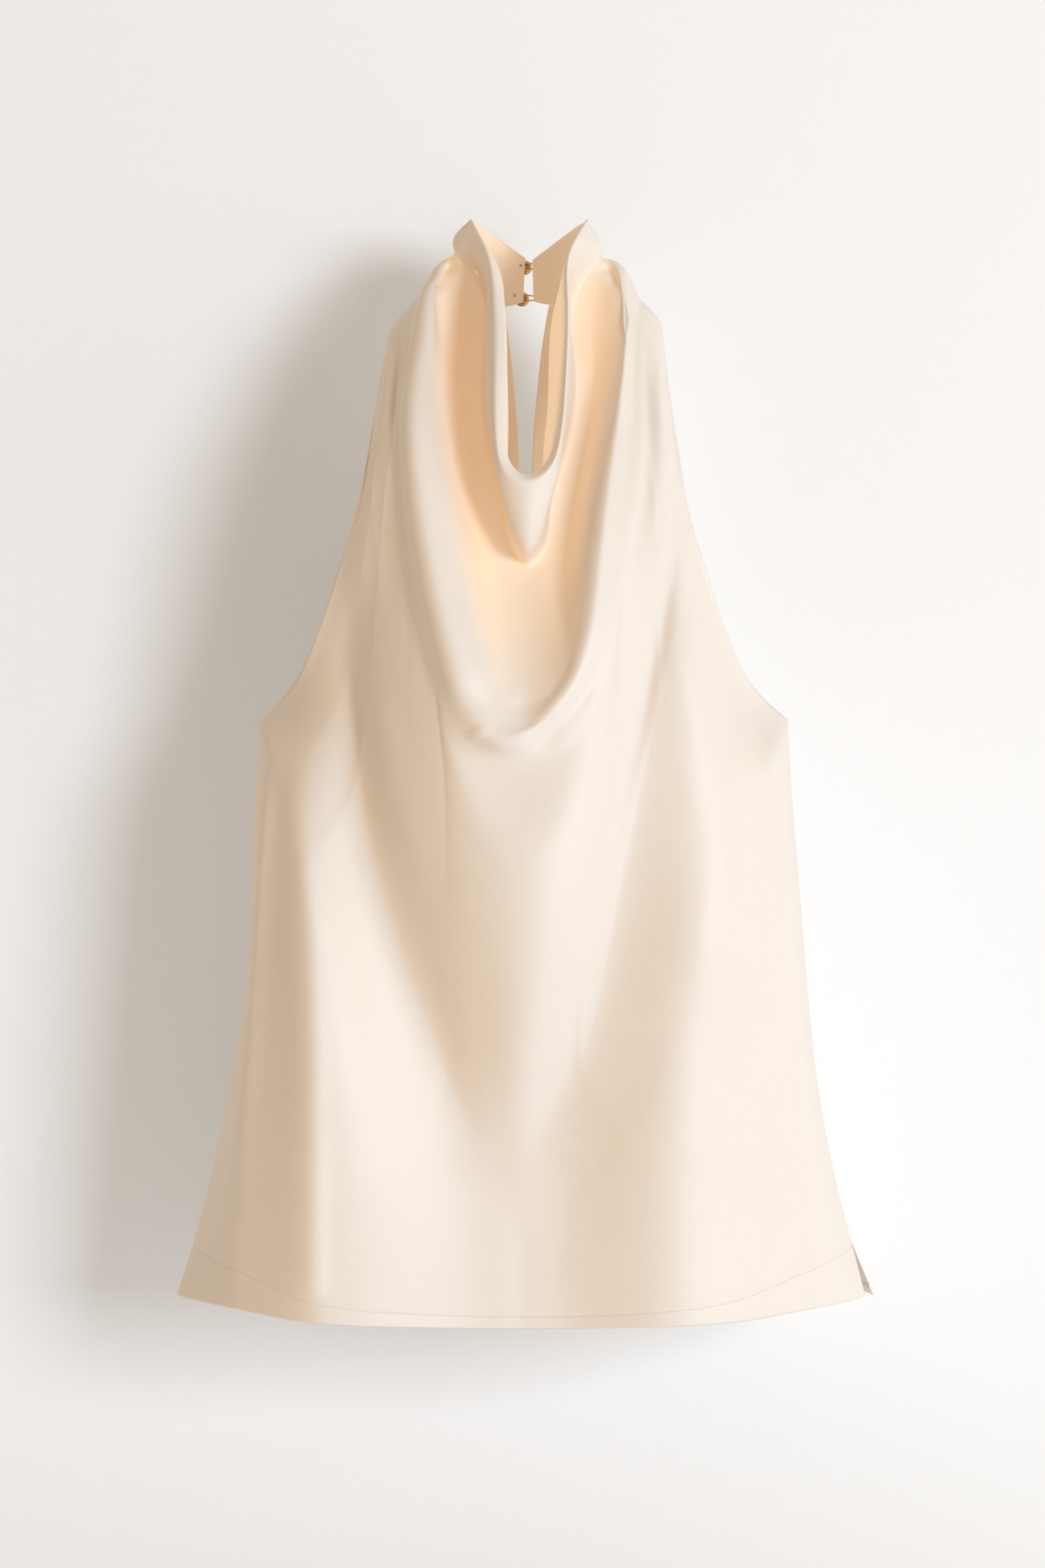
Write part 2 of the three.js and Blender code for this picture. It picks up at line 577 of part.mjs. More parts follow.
add("front", gridShell(frontPoints(), WALL), cloth);
add("back", backShell(backPoints(), WALL), cloth);
add("neckband_left", gridShell(bandPoints("left", LEFT_BAND), WALL), cloth);
add("neckband_right", gridShell(bandPoints("right", RIGHT_BAND), WALL), cloth);
for (const { name, x, z } of FASTENERS) {
  add(`button_${name}`, ball(x, z), gold);
  add(`loop_${name}`, buttonLoop(x, z), thread);
}

export default group;
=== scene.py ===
"""A sleeveless halter neck top in cream satin, filled out as if worn.

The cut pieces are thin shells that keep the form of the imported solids: a front with a deep
cowl, a back with an opening, two neckband halves, and the buttons and loops that close them.
Lengths in the tables are millimetres, read as seen from the front; meshes are in metres.
"""

import logging
import math
from collections.abc import Callable, Sequence
from dataclasses import dataclass, field
from enum import Enum

import bmesh
import bpy
import numpy as np
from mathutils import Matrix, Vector


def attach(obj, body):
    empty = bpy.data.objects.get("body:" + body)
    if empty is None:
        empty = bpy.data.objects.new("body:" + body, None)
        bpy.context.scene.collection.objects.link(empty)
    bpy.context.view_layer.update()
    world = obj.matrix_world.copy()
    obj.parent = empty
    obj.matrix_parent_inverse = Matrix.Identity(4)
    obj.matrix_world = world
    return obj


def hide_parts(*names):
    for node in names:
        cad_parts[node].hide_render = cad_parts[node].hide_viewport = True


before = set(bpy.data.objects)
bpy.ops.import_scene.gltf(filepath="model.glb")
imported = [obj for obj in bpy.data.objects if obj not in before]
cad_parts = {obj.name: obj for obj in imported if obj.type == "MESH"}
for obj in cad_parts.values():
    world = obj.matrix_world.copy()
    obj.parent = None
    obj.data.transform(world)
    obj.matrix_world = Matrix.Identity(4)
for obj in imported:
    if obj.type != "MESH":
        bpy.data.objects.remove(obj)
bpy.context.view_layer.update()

log = logging.getLogger("halter_top")

MM = 0.001
Colour = tuple[float, float, float]


class Way(Enum):
    """How a curve passes through its values."""

    STEADY = "never turns back between two values"
    FREE = "natural spline"


class Side(Enum):
    """Side of the top, as seen from the front."""

    LEFT = "left"
    RIGHT = "right"


class Panel(Enum):
    """The two large cut pieces."""

    FRONT = "front"
    BACK = "back"


class Curve:
    """A smooth curve through a few values, each a number or a vector."""

    def __init__(
        self,
        at: Sequence[float],
        values: Sequence,
        way: Way = Way.STEADY,
        first: np.ndarray | None = None,
        last: np.ndarray | None = None,
    ) -> None:
        """Works out the slope at each value.

        Args:
            at: Rising places of the values.
            values: Numbers or vectors.
            way: How the curve passes between them.
            first: Slope at the start of a free curve, if it is held.
            last: Slope at the end of a free curve, if it is held.
        """
        self.at = np.asarray(at, float)
        self.values = np.asarray(values, float)
        self.slopes = self._steady() if way is Way.STEADY else self._free(first, last)

    def _steady(self) -> np.ndarray:
        """Slopes that never overshoot.

        Returns:
            One slope for each value.
        """
        shape = (-1,) + (1,) * (self.values.ndim - 1)
        step = np.diff(self.values, axis=0) / np.diff(self.at).reshape(shape)
        slopes = np.empty_like(self.values)
        slopes[0] = step[0]
        slopes[-1] = step[-1]
        product = step[:-1] * step[1:]
        total = step[:-1] + step[1:]
        safe = np.where(product > 0, total, 1)
        slopes[1:-1] = np.where(product > 0, 2 * product / safe, 0)
        return slopes

    def _free(self, first: np.ndarray | None, last: np.ndarray | None) -> np.ndarray:
        """Slopes of a cubic spline, natural or held at its ends.

        Args:
            first: Held slope at the start, or None.
            last: Held slope at the end, or None.

        Returns:
            One slope for each value.
        """
        n = len(self.at)
        step = np.diff(self.at)
        flat = self.values.reshape(n, -1)
        grid = np.zeros((n, n))
        right = np.zeros_like(flat)
        for i in range(1, n - 1):
            h0, h1 = step[i - 1], step[i]
            grid[i, i - 1 : i + 2] = h1, 2 * (h0 + h1), h0
            right[i] = 3 * (
                h1 * (flat[i] - flat[i - 1]) / h0 + h0 * (flat[i + 1] - flat[i]) / h1
            )
        if first is None:
            grid[0, :2] = 2, 1
            right[0] = 3 * (flat[1] - flat[0]) / step[0]
        else:
            grid[0, 0] = 1
            right[0] = np.ravel(first)
        if last is None:
            grid[-1, -2:] = 1, 2
            right[-1] = 3 * (flat[-1] - flat[-2]) / step[-1]
        else:
            grid[-1, -1] = 1
            right[-1] = np.ravel(last)
        return np.linalg.solve(grid, right).reshape(self.values.shape)

    def __call__(self, x: float | np.ndarray) -> np.ndarray:
        """Values of the curve.

        Args:
            x: One place or an array of places.

        Returns:
            The value at each place.
        """
        x = np.asarray(x, float)
        i = np.clip(np.searchsorted(self.at, x, side="left") - 1, 0, len(self.at) - 2)
        h = self.at[i + 1] - self.at[i]
        q = (x - self.at[i]) / h
        if self.values.ndim > 1:
            h, q = h[..., None], q[..., None]
        return (
            self.values[i] * (1 + 2 * q) * (1 - q) ** 2
            + self.slopes[i] * h * q * (1 - q) ** 2
            + self.values[i + 1] * q * q * (3 - 2 * q)
            + self.slopes[i + 1] * h * q * q * (q - 1)
        )


def smooth(low: float, high: float, x: np.ndarray) -> np.ndarray:
    """A soft step from 0 at low to 1 at high.

    Args:
        low: Where the step starts.
        high: Where the step ends.
        x: Places on the step.

    Returns:
        Values from 0 to 1.
    """
    t = np.clip((np.asarray(x, float) - low) / (high - low), 0, 1)
    return t * t * (3 - 2 * t)


@dataclass(frozen=True)
class Sight:
    """Turns sizes read as seen from the front into places in space, and back."""

    x: float = -2.0
    z: float = -310.6
    away: float = 2600.0
    neck_depth: float = 25.0

    def place(self, seen: np.ndarray) -> np.ndarray:
        """Places of points.

        Args:
            seen: Points as x and z seen from the front, with depth as y.

        Returns:
            Their places in space, in millimetres.
        """
        seen = np.asarray(seen, float)
        near = 1 + seen[..., 1] / self.away
        return np.stack(
            [
                self.x + (seen[..., 0] - self.x) * near,
                seen[..., 1] - self.neck_depth,
                self.z + (seen[..., 2] - self.z) * near,
            ],
            axis=-1,
        )

    def seen(self, points: np.ndarray) -> np.ndarray:
        """The opposite of place.

        Args:
            points: Places in space, in millimetres.

        Returns:
            Points as seen from the front, with depth as y.
        """
        y = points[..., 1] + self.neck_depth
        near = 1 + y / self.away
        return np.stack(
            [
                self.x + (points[..., 0] - self.x) / near,
                y,
                self.z + (points[..., 2] - self.z) / near,
            ],
            axis=-1,
        )


SIGHT = Sight()


@dataclass(frozen=True)
class EdgePoint:
    """A point on the edge that the front and the back share, on both sides."""

    name: str
    lx: float
    lz: float
    rx: float
    rz: float
    front: float
    back: float
    roll: float = 0.0
    ease: float = 0.0


@dataclass(frozen=True)
class SharedEdge:
    """The edge from the neck over the shoulder and round the armhole to the hem."""

    points: tuple[EdgePoint, ...] = (
        EdgePoint("facing end", -36.5, 4, 38, 4, -2, 0),
        EdgePoint("facing middle", -34.5, 17, 38, 17, -6, 0),
        EdgePoint("neck peak", -32.4, 28, 36.4, 28, -8, -8, 0, 0.5),
        EdgePoint("first lobe", -41, 20, 42, 19, -3, -3, 0.6, 0.5),
        EdgePoint("first lobe foot", -43.4, 13, 44.5, 12, 0, 0, 0.8, 0.5),
        EdgePoint("first notch", -43, 7, 46, 5, 2, 2, 0.8, 0.5),
        EdgePoint("second lobe", -53, 0.5, 57, 1, 1, 1, 0.8, 0.5),
        EdgePoint("second lobe foot", -60.5, -13, 66, -15, 0, 0, 0.8, 0.5),
        EdgePoint("second notch", -65.5, -20, 69.5, -21, 1, 1, 0.8, 0.5),
        EdgePoint("third lobe", -77, -32, 79, -31, 1, 1, 0.7, 0.5),
        EdgePoint("shoulder point", -82.5, -43, 82.5, -44, -2, -2, 0.4, 0.5),
        EdgePoint("armhole 1", -88.4, -75, 86, -75, -26, 22),
        EdgePoint("armhole 2", -98.8, -131.6, 94.8, -131.6, -46, 50),
        EdgePoint("armhole 3", -108.4, -169, 103.6, -169, -48, 58),
        EdgePoint("armhole 4", -127.2, -226, 122.8, -226, -41, 50),
        EdgePoint("armhole 5", -143, -256, 139, -255.5, -25, 26),
        EdgePoint("underarm", -160, -274, 157, -272, 0, 0, 0.5, 0.2),
        EdgePoint("side 1", -162.5, -330, 160.3, -330, 0, 0, 1),
        EdgePoint("side 2", -165.2, -405, 166.4, -405, 0, 0, 1),
        EdgePoint("side 3", -176, -485, 174, -485, 0, 0, 1),
        EdgePoint("side 4", -192, -560, 188.5, -560, 0, 0, 1),
        EdgePoint("hem corner", -208.8, -616.4, 205, -617, 0, 0, 1),
    )
    corners: tuple[int, ...] = (0, 2, 16, 21)
    seam: float = 0.3
    slit_top: float = -581.6
    slit_height: float = 35.4
    slit_spread: float = 1.2
    slit: dict[tuple[Side, Panel], tuple[float, float]] = field(
        default_factory=lambda: {
            (Side.LEFT, Panel.FRONT): (0.0, -2.5),
            (Side.LEFT, Panel.BACK): (2.5, 2.5),
            (Side.RIGHT, Panel.FRONT): (-1.8, -5.0),
            (Side.RIGHT, Panel.BACK): (3.8, 2.0),
        }
    )

    def value(self, column: str, at: float) -> float:
        """One column of the edge table, as a smooth curve between corners.

        Args:
            column: Name of the column.
            at: Place on the edge, counted in table rows.

        Returns:
            The column's value there.
        """
        ends = list(zip(self.corners, self.corners[1:]))
        low, high = next((p for p in ends if at <= p[1]), ends[-1])
        rows = self.points[low : high + 1]
        way = Way.FREE if column in ("lx", "lz", "rx", "rz") else Way.STEADY
        curve = Curve(range(low, high + 1), [getattr(p, column) for p in rows], way)
        return float(curve(at))

    def point(self, side: Side, panel: Panel, at: float) -> np.ndarray:
        """A point on a panel's own edge, half the seam away from the shared edge.

        Args:
            side: Side of the top.
            panel: Front or back.
            at: Place on the edge, counted in table rows.

        Returns:
            The point's place, in millimetres.
        """
        first = side.value[0]
        x, z = self.value(first + "x", at), self.value(first + "z", at)
        opened = max(0.0, (self.slit_top - z) / self.slit_height) ** self.slit_spread
        dx, dy = self.slit[(side, panel)]
        gap = -self.seam / 2
        if panel is Panel.BACK:
            gap = self.seam / 2 + self.value("ease", at)
        y = self.value(panel.value, at) + gap + dy * opened
        return SIGHT.place(np.array([x + dx * opened, y, z]))


EDGE = SharedEdge()


@dataclass(frozen=True)
class Crease:
    """A soft ridge or trough laid along a line, as seen from the front.

    The line is x and z pairs from its top to its foot. Widths are to the left and the right of
    the line going down it, and height is positive for a ridge.
    """

    name: str
    line: tuple[tuple[float, float], ...]
    width: tuple[float, float]
    height: float
    fade: tuple[float, float] = (0.3, 0.3)
    rows: tuple[float, float] = (5.5, 99.0)

    def relief(self, x: np.ndarray, z: np.ndarray, row: np.ndarray) -> np.ndarray:
        """How far the crease lifts the cloth.

        Args:
            x: Places across, as seen from the front.
            z: Places up, as seen from the front.
            row: Which fold of the panel each place belongs to.

        Returns:
            Height at each place, in millimetres.
        """
        pairs = np.array(self.line, float)
        along = np.concatenate([[0], np.cumsum(np.linalg.norm(np.diff(pairs, axis=0), axis=1))])
        stations = np.linspace(0, along[-1], 40)
        path = Curve(along, pairs)(stations)
        nearest = np.full(x.shape, 1e9)
        place = np.zeros(x.shape)
        aside = np.zeros(x.shape)
        for (a, b), start in zip(zip(path, path[1:]), stations):
            way = b - a
            length = float(np.hypot(*way))
            way = way / length
            dx, dz = x - a[0], z - a[1]
            t = np.clip(dx * way[0] + dz * way[1], 0, length)
            off = np.hypot(dx - t * way[0], dz - t * way[1])
            nearer = off < nearest
            nearest = np.where(nearer, off, nearest)
            place = np.where(nearer, start + t, place)
            aside = np.where(nearer, way[0] * dz - way[1] * dx, aside)
        share = place / along[-1]
        width = np.where(aside < 0, self.width[0], self.width[1])
        strength = smooth(0, max(self.fade[0], 1e-3), share)
        strength = strength * smooth(0, max(self.fade[1], 1e-3), 1 - share)
        used = smooth(self.rows[0] - 0.3, self.rows[0] + 0.3, row)
        used = used * (1 - smooth(self.rows[1] - 0.3, self.rows[1] + 0.3, row))
        return self.height * np.exp(-((nearest / width) ** 2)) * strength * used


def grid_normals(points: np.ndarray) -> np.ndarray:
    """Outward directions of a net of points.

    Args:
        points: Rows and columns of places.

    Returns:
        A unit direction for each place.
    """
    down = np.gradient(points, axis=0)
    along = np.gradient(points, axis=1)
    normals = np.cross(down, along)
    return normals / np.maximum(np.linalg.norm(normals, axis=-1, keepdims=True), 1e-12)


@dataclass
class Cloth:
    """A net of cloth with its thickness, made into one closed mesh."""

    name: str
    points: np.ndarray
    normals: np.ndarray
    outer: np.ndarray
    inner: np.ndarray
    uv: np.ndarray
    # Painted light: painted warm shade where shade falls in folds and hollows, and a painted glow where
    # light would pass through the cloth; the faces field gives their share on each of the two faces.
    warmth: np.ndarray
    within: np.ndarray
    faces: tuple[float, float] = (1.0, 1.0)
    turned: bool = False
    opened: np.ndarray | None = None

    def quads(self) -> np.ndarray:
        """Four-sided meshes of the net, seen from outside.

        Returns:
            Point numbers of each mesh.
        """
        rows, columns = self.points.shape[:2]
        ids = np.arange(rows * columns).reshape(rows, columns)
        cells = np.stack([ids[:-1, 1:], ids[:-1, :-1], ids[1:, :-1], ids[1:, 1:]], axis=-1)
        if self.turned:
            cells = cells[..., ::-1]
        if self.opened is not None:
            return cells[~self.opened]
        return cells.reshape(-1, 4)

    def rim(self, quads: np.ndarray) -> np.ndarray:
        """Edges of the net that belong to one mesh only.

        Args:
            quads: The net's meshes.

        Returns:
            Pairs of point numbers, in the direction of their mesh.
        """
        edges = np.stack([quads, np.roll(quads, -1, axis=1)], axis=-1).reshape(-1, 2)
        size = self.points.shape[0] * self.points.shape[1]
        code = edges[:, 0] * size + edges[:, 1]
        return edges[~np.isin(code, edges[:, 1] * size + edges[:, 0])]

    def area(self) -> float:
        """Area of the cloth itself, in square metres."""
        flat = self.points.reshape(-1, 3)[self.quads()] * MM
        cross = np.cross(flat[:, 2] - flat[:, 0], flat[:, 3] - flat[:, 1])
        return float(np.linalg.norm(cross, axis=1).sum() / 2)

    def build(self) -> bpy.types.Object:
        """Makes the closed mesh, with a rounded border.

        Returns:
            The new piece.
        """
        flat = self.points.reshape(-1, 3)
        out = self.normals.reshape(-1, 3)
        top = flat + out * self.outer.reshape(-1, 1)
        under = flat - out * self.inner.reshape(-1, 1)
        count = len(flat)
        quads = self.quads()
        rim = self.rim(quads)
        away = np.zeros_like(flat)
        side = np.cross(flat[rim[:, 1]] - flat[rim[:, 0]], out[rim[:, 0]])
        side /= np.maximum(np.linalg.norm(side, axis=1, keepdims=True), 1e-9)
        np.add.at(away, rim[:, 0], side)
        np.add.at(away, rim[:, 1], side)
        border = np.unique(rim)
        away = away[border]
        away /= np.maximum(np.linalg.norm(away, axis=1, keepdims=True), 1e-9)
        half = np.linalg.norm(top[border] - under[border], axis=1, keepdims=True) / 2
        edge = (top[border] + under[border]) / 2 + away * half * 0.8
        number = np.zeros(count, int)
        number[border] = 2 * count + np.arange(len(border))
        a, b = rim[:, 0], rim[:, 1]
        upper = np.stack([b, a, number[a], number[b]], axis=-1)
        lower = np.stack([number[b], number[a], a + count, b + count], axis=-1)
        faces = np.concatenate([quads, quads[:, ::-1] + count, upper, lower])
        mesh = bpy.data.meshes.new(self.name)
        verts = np.concatenate([top, under, edge]) * MM
        used = np.zeros(len(verts), bool)
        used[faces.ravel()] = True
        renumber = np.cumsum(used) - 1
        mesh.from_pydata(verts[used].tolist(), [], renumber[faces].tolist())
        mesh.update()
        spread = np.concatenate([np.arange(count), np.arange(count), border])[used]
        layer = mesh.uv_layers.new(name="cloth")
        corner = np.empty(len(mesh.loops), np.int32)
        mesh.loops.foreach_get("vertex_index", corner)
        layer.data.foreach_set("uv", (self.uv.reshape(-1, 2)[spread][corner] * MM).ravel())
        # Painted warm shade and painted glow, stored on each point and scaled for each face.
        share = np.repeat([*self.faces, 1.0], (count, count, len(border)))
        for name, values in (("warmth", self.warmth), ("within", self.within)):
            tone = mesh.attributes.new(name, "FLOAT", "POINT")
            value = values.reshape(-1)[spread] * share[used]
            tone.data.foreach_set("value", value.astype(np.float32))
        mesh.shade_smooth()
        piece = bpy.data.objects.new(self.name, mesh)
        bpy.context.collection.objects.link(piece)
        return piece


def cloth_uv(points: np.ndarray, middle: int) -> np.ndarray:
    """Lengths along the cloth, across and down.

    Args:
        points: Rows and columns of places.
        middle: Column where the across length is zero.

    Returns:
        Across and down lengths for each place, in millimetres.
    """
    across = np.linalg.norm(np.diff(points, axis=1), axis=-1)
    across = np.concatenate([np.zeros((len(points), 1)), np.cumsum(across, axis=1)], axis=1)
    across = across - across[:, middle : middle + 1]
    down = np.linalg.norm(np.diff(points, axis=0), axis=-1).mean(axis=1)
    down = np.concatenate([[0], np.cumsum(down)])
    return np.stack([across, np.broadcast_to(down[:, None], across.shape)], axis=-1)


@dataclass(frozen=True)
class Fold:
    """One fold line of the front, hung from both edges.

    x and y are at each share of the drop: down the left side, at the lowest point, and up the
    right side.
    """

    name: str
    left: float
    right: float
    low: float
    bow: float
    steps: int
    x: tuple[float, ...]
    y: tuple[float, ...]


def relaxed(values: np.ndarray, down: int, across: int) -> np.ndarray:
    """Values of a net after each has been evened out with its neighbours many times.

    Args:
        values: Rows and columns of values.
        down: Number of passes down the columns.
        across: Number of passes along the rows.

    Returns:
        The evened values, with the border kept.
    """
    values = values.copy()
    for _ in range(down):
        values[1:-1] = (values[:-2] + 2 * values[1:-1] + values[2:]) / 4
    for _ in range(across):
        values[:, 1:-1] = (values[:, :-2] + 2 * values[:, 1:-1] + values[:, 2:]) / 4
    return values


@dataclass(frozen=True)
class Section:
    """A cut across the lower front, through its ridges and troughs.

    x and y are at the left roll, left ridge, left trough, left flank, middle, right trough,
    right ridge and right roll.
    """

    z: float
    x: tuple[float, ...]
    y: tuple[float, ...]


def settle(sections: Sequence[Section], x: np.ndarray, z: np.ndarray) -> np.ndarray:
    """Depth of the lower front.

    Args:
        sections: Cuts, from the top down.
        x: Places across, as seen from the front.
        z: Places up, as seen from the front.

    Returns:
        The depth at each place, in millimetres.
    """
    levels = [-cut.z for cut in sections]
    down = np.clip(-z, levels[0], levels[-1])
    knots = Curve(levels, [cut.x for cut in sections])(down)
    depths = Curve(levels, [cut.y for cut in sections])(down)
    across = np.diff(knots, axis=-1)
    step = np.diff(depths, axis=-1) / across
    product, total = step[..., :-1] * step[..., 1:], step[..., :-1] + step[..., 1:]
    bend = np.where(product > 0, 2 * product / np.where(product > 0, total, 1), 0)
    slopes = np.concatenate([step[..., :1], bend, step[..., -1:]], axis=-1)
    inside = np.clip(x, knots[..., 0], knots[..., -1])
    part = (inside[..., None] > knots[..., 1:-1]).sum(axis=-1)[..., None]

    def pick(values: np.ndarray, next_one: int) -> np.ndarray:
        """Values at the knot before or after each place."""
        return np.take_along_axis(values, part + next_one, axis=-1)[..., 0]

    width = pick(across, 0)
    beyond = (x - inside) * np.where(x < inside, slopes[..., 0], slopes[..., -1])
    q = (inside - pick(knots, 0)) / width
    return (
        beyond
        + pick(depths, 0) * (1 + 2 * q) * (1 - q) ** 2
        + pick(slopes, 0) * width * q * (1 - q) ** 2
        + pick(depths, 1) * q * q * (3 - 2 * q)
        + pick(slopes, 1) * width * q * q * (q - 1)
    )


SECTIONS = (
    Section(-200, (-114, -108, -101, -84, 0, 84, 94, 106),
            (-43, -47, -54, -72, -112, -82, -78, -60)),
    Section(-240, (-134, -118, -108, -87, 2, 84, 105, 126),
            (-40, -47, -51, -80, -116, -88, -87, -58)),
    Section(-285, (-152, -126, -107, -80, 4, 82, 106, 145),
            (-44, -64, -61, -91, -118, -90, -92, -62)),
    Section(-333, (-156, -128, -102, -65, 6, 77, 104, 148),
            (-54, -75, -70, -99, -118, -92, -97, -66)),
    Section(-400, (-158, -124, -84, -47, 6, 58, 100, 152),
            (-58, -87, -75, -94, -110, -92, -102, -70)),
    Section(-464, (-160, -122, -58, -30, 0, 40, 92, 158),
            (-64, -94, -75, -85, -94, -85, -95, -68)),
    Section(-520, (-168, -121, -36, -20, -2, 12, 88, 164),
            (-64, -97, -79, -80, -81, -80, -94, -66)),
    Section(-580, (-180, -121, -30, -15, 0, 14, 86, 174),
            (-60, -99, -84, -83, -82, -82, -93, -62)),
    Section(-640, (-190, -121, -28, -14, 0, 14, 86, 182),
            (-56, -100, -86, -85, -84, -84, -94, -60)),
)


LEFT_FLANK = (
    Section(-85, (-92, -85, -67, -60), (-31, -46, -63, -66)),
    Section(-135, (-105, -90, -67, -54), (-46, -65, -79, -87)),
    Section(-170, (-110, -96, -72, -54), (-47, -65, -81, -94)),
    Section(-215, (-126, -106, -84, -60), (-41, -56, -79, -97)),
)


@dataclass(frozen=True)
class Hem:
    """The turned-up hem: how wide it is, its stitch line, and the cloth's thickness."""

    depth: float = 7.8
    stitch_line: float = 5.4
    pitch: float = 2.1
    cloth: float = 0.35
    doubled: float = 0.95
    rows: tuple[float, ...] = (12, 10, 9, 8.2, 7.6, 6.8, 6, 5.4, 4.8, 4, 3, 2, 1, 0.4)

    def inner(self, from_edge: np.ndarray, depth: float) -> np.ndarray:
        """Thickness inside the middle of the cloth.

        Args:
            from_edge: Distance from the edge, in millimetres.
            depth: Width of the doubled strip.

        Returns:
            Half thickness inwards.
        """
        step = 1 - smooth(depth - 0.3, depth + 0.3, from_edge)
        return self.cloth + (self.doubled - self.cloth) * step

    def dip(self, from_edge: np.ndarray) -> np.ndarray:
        """How far the stitches pull the cloth in, in millimetres."""
        return 0.22 * np.exp(-(((from_edge - self.stitch_line) / 0.7) ** 2))


HEM = Hem()


FRONT_CREASES = (
    Crease("left side ridge",
           ((-139, -290), (-136, -340), (-132, -400), (-129, -480), (-128, -560), (-128, -628)),
           (14, 7), 2.2, (0.3, 0.05)),
    Crease("left side valley", ((-150, -284), (-149, -350), (-151, -440)), (6, 6), -1.4),
    Crease("right side valley", ((134, -284), (138, -350), (143, -445)), (8, 8), -1.5),
    Crease("left lip", ((-40, -190), (-30, -235), (-22, -278)), (12, 12), 0.8, (0.4, 0.12), (7, 99)),
    Crease("pocket", ((-4, -256), (3, -278)), (9, 9), -1.2, (0.4, 0.2), (7, 99)),
    Crease("right lip", ((45, -190), (37, -240), (23, -262), (10, -275)), (8, 8), 0.9, (0.4, 0.12), (7, 99)),
    Crease("under right lip", ((50, -230), (35, -256), (15, -280), (-2, -291)), (5, 5), -2.4,
           (0.4, 0.2), (8.5, 99)),
    Crease("lip corner", ((-30, -276), (-27, -284)), (6, 6), 1.0, (0.3, 0.3), (7, 99)),
    Crease("left crest start", ((-57, -2), (-59.5, -32), (-60, -70)), (4, 4), 2.6, (0.3, 0.5), (5, 12)),
    Crease("left crest valley", ((-52, -4), (-52, -30), (-49, -64)), (4, 4), -3.2, (0.3, 0.5), (5, 12)),
    Crease("left crest", ((-60, -8), (-64, -40), (-69, -85), (-66, -135), (-59, -185), (-45, -240),
                          (-33, -274)), (7, 26), 3.4, (0.12, 0.12), (7.2, 13)),
    Crease("left lobe dent", ((-39, 14), (-31, 0), (-28, -14)), (4, 4), -1.5, (0.3, 0.4), (3, 7)),
    Crease("left pocket", ((-43, 6), (-49, -2), (-53, -16)), (5, 5), -7, (0.3, 0.4), (3, 10)),
    Crease("right pocket", ((46, 4), (51, -5), (52, -15)), (4, 4), -4, (0.3, 0.4), (3, 10)),
    Crease("right neck valley", ((50, -2), (57, -14), (59, -30), (58, -50)), (5, 5), -3.0,
           (0.3, 0.4), (6, 12)),
    Crease("left pucker 1", ((-150, -262), (-149, -292)), (2.2, 2.2), -0.8),
    Crease("left pucker 2", ((-143, -250), (-143, -286)), (2.4, 2.2), -0.9),
    Crease("left pucker 3", ((-136.5, -242), (-138, -274)), (2.2, 2.4), -0.7),
    Crease("right pucker 1", ((124, -237), (122, -262)), (2.2, 2.2), -0.8),
    Crease("right pucker 2", ((130, -244), (128.5, -270)), (2.4, 2.2), -0.9),
    Crease("right pucker 3", ((136.5, -250), (134, -276)), (2.2, 2.2), -0.6),
)


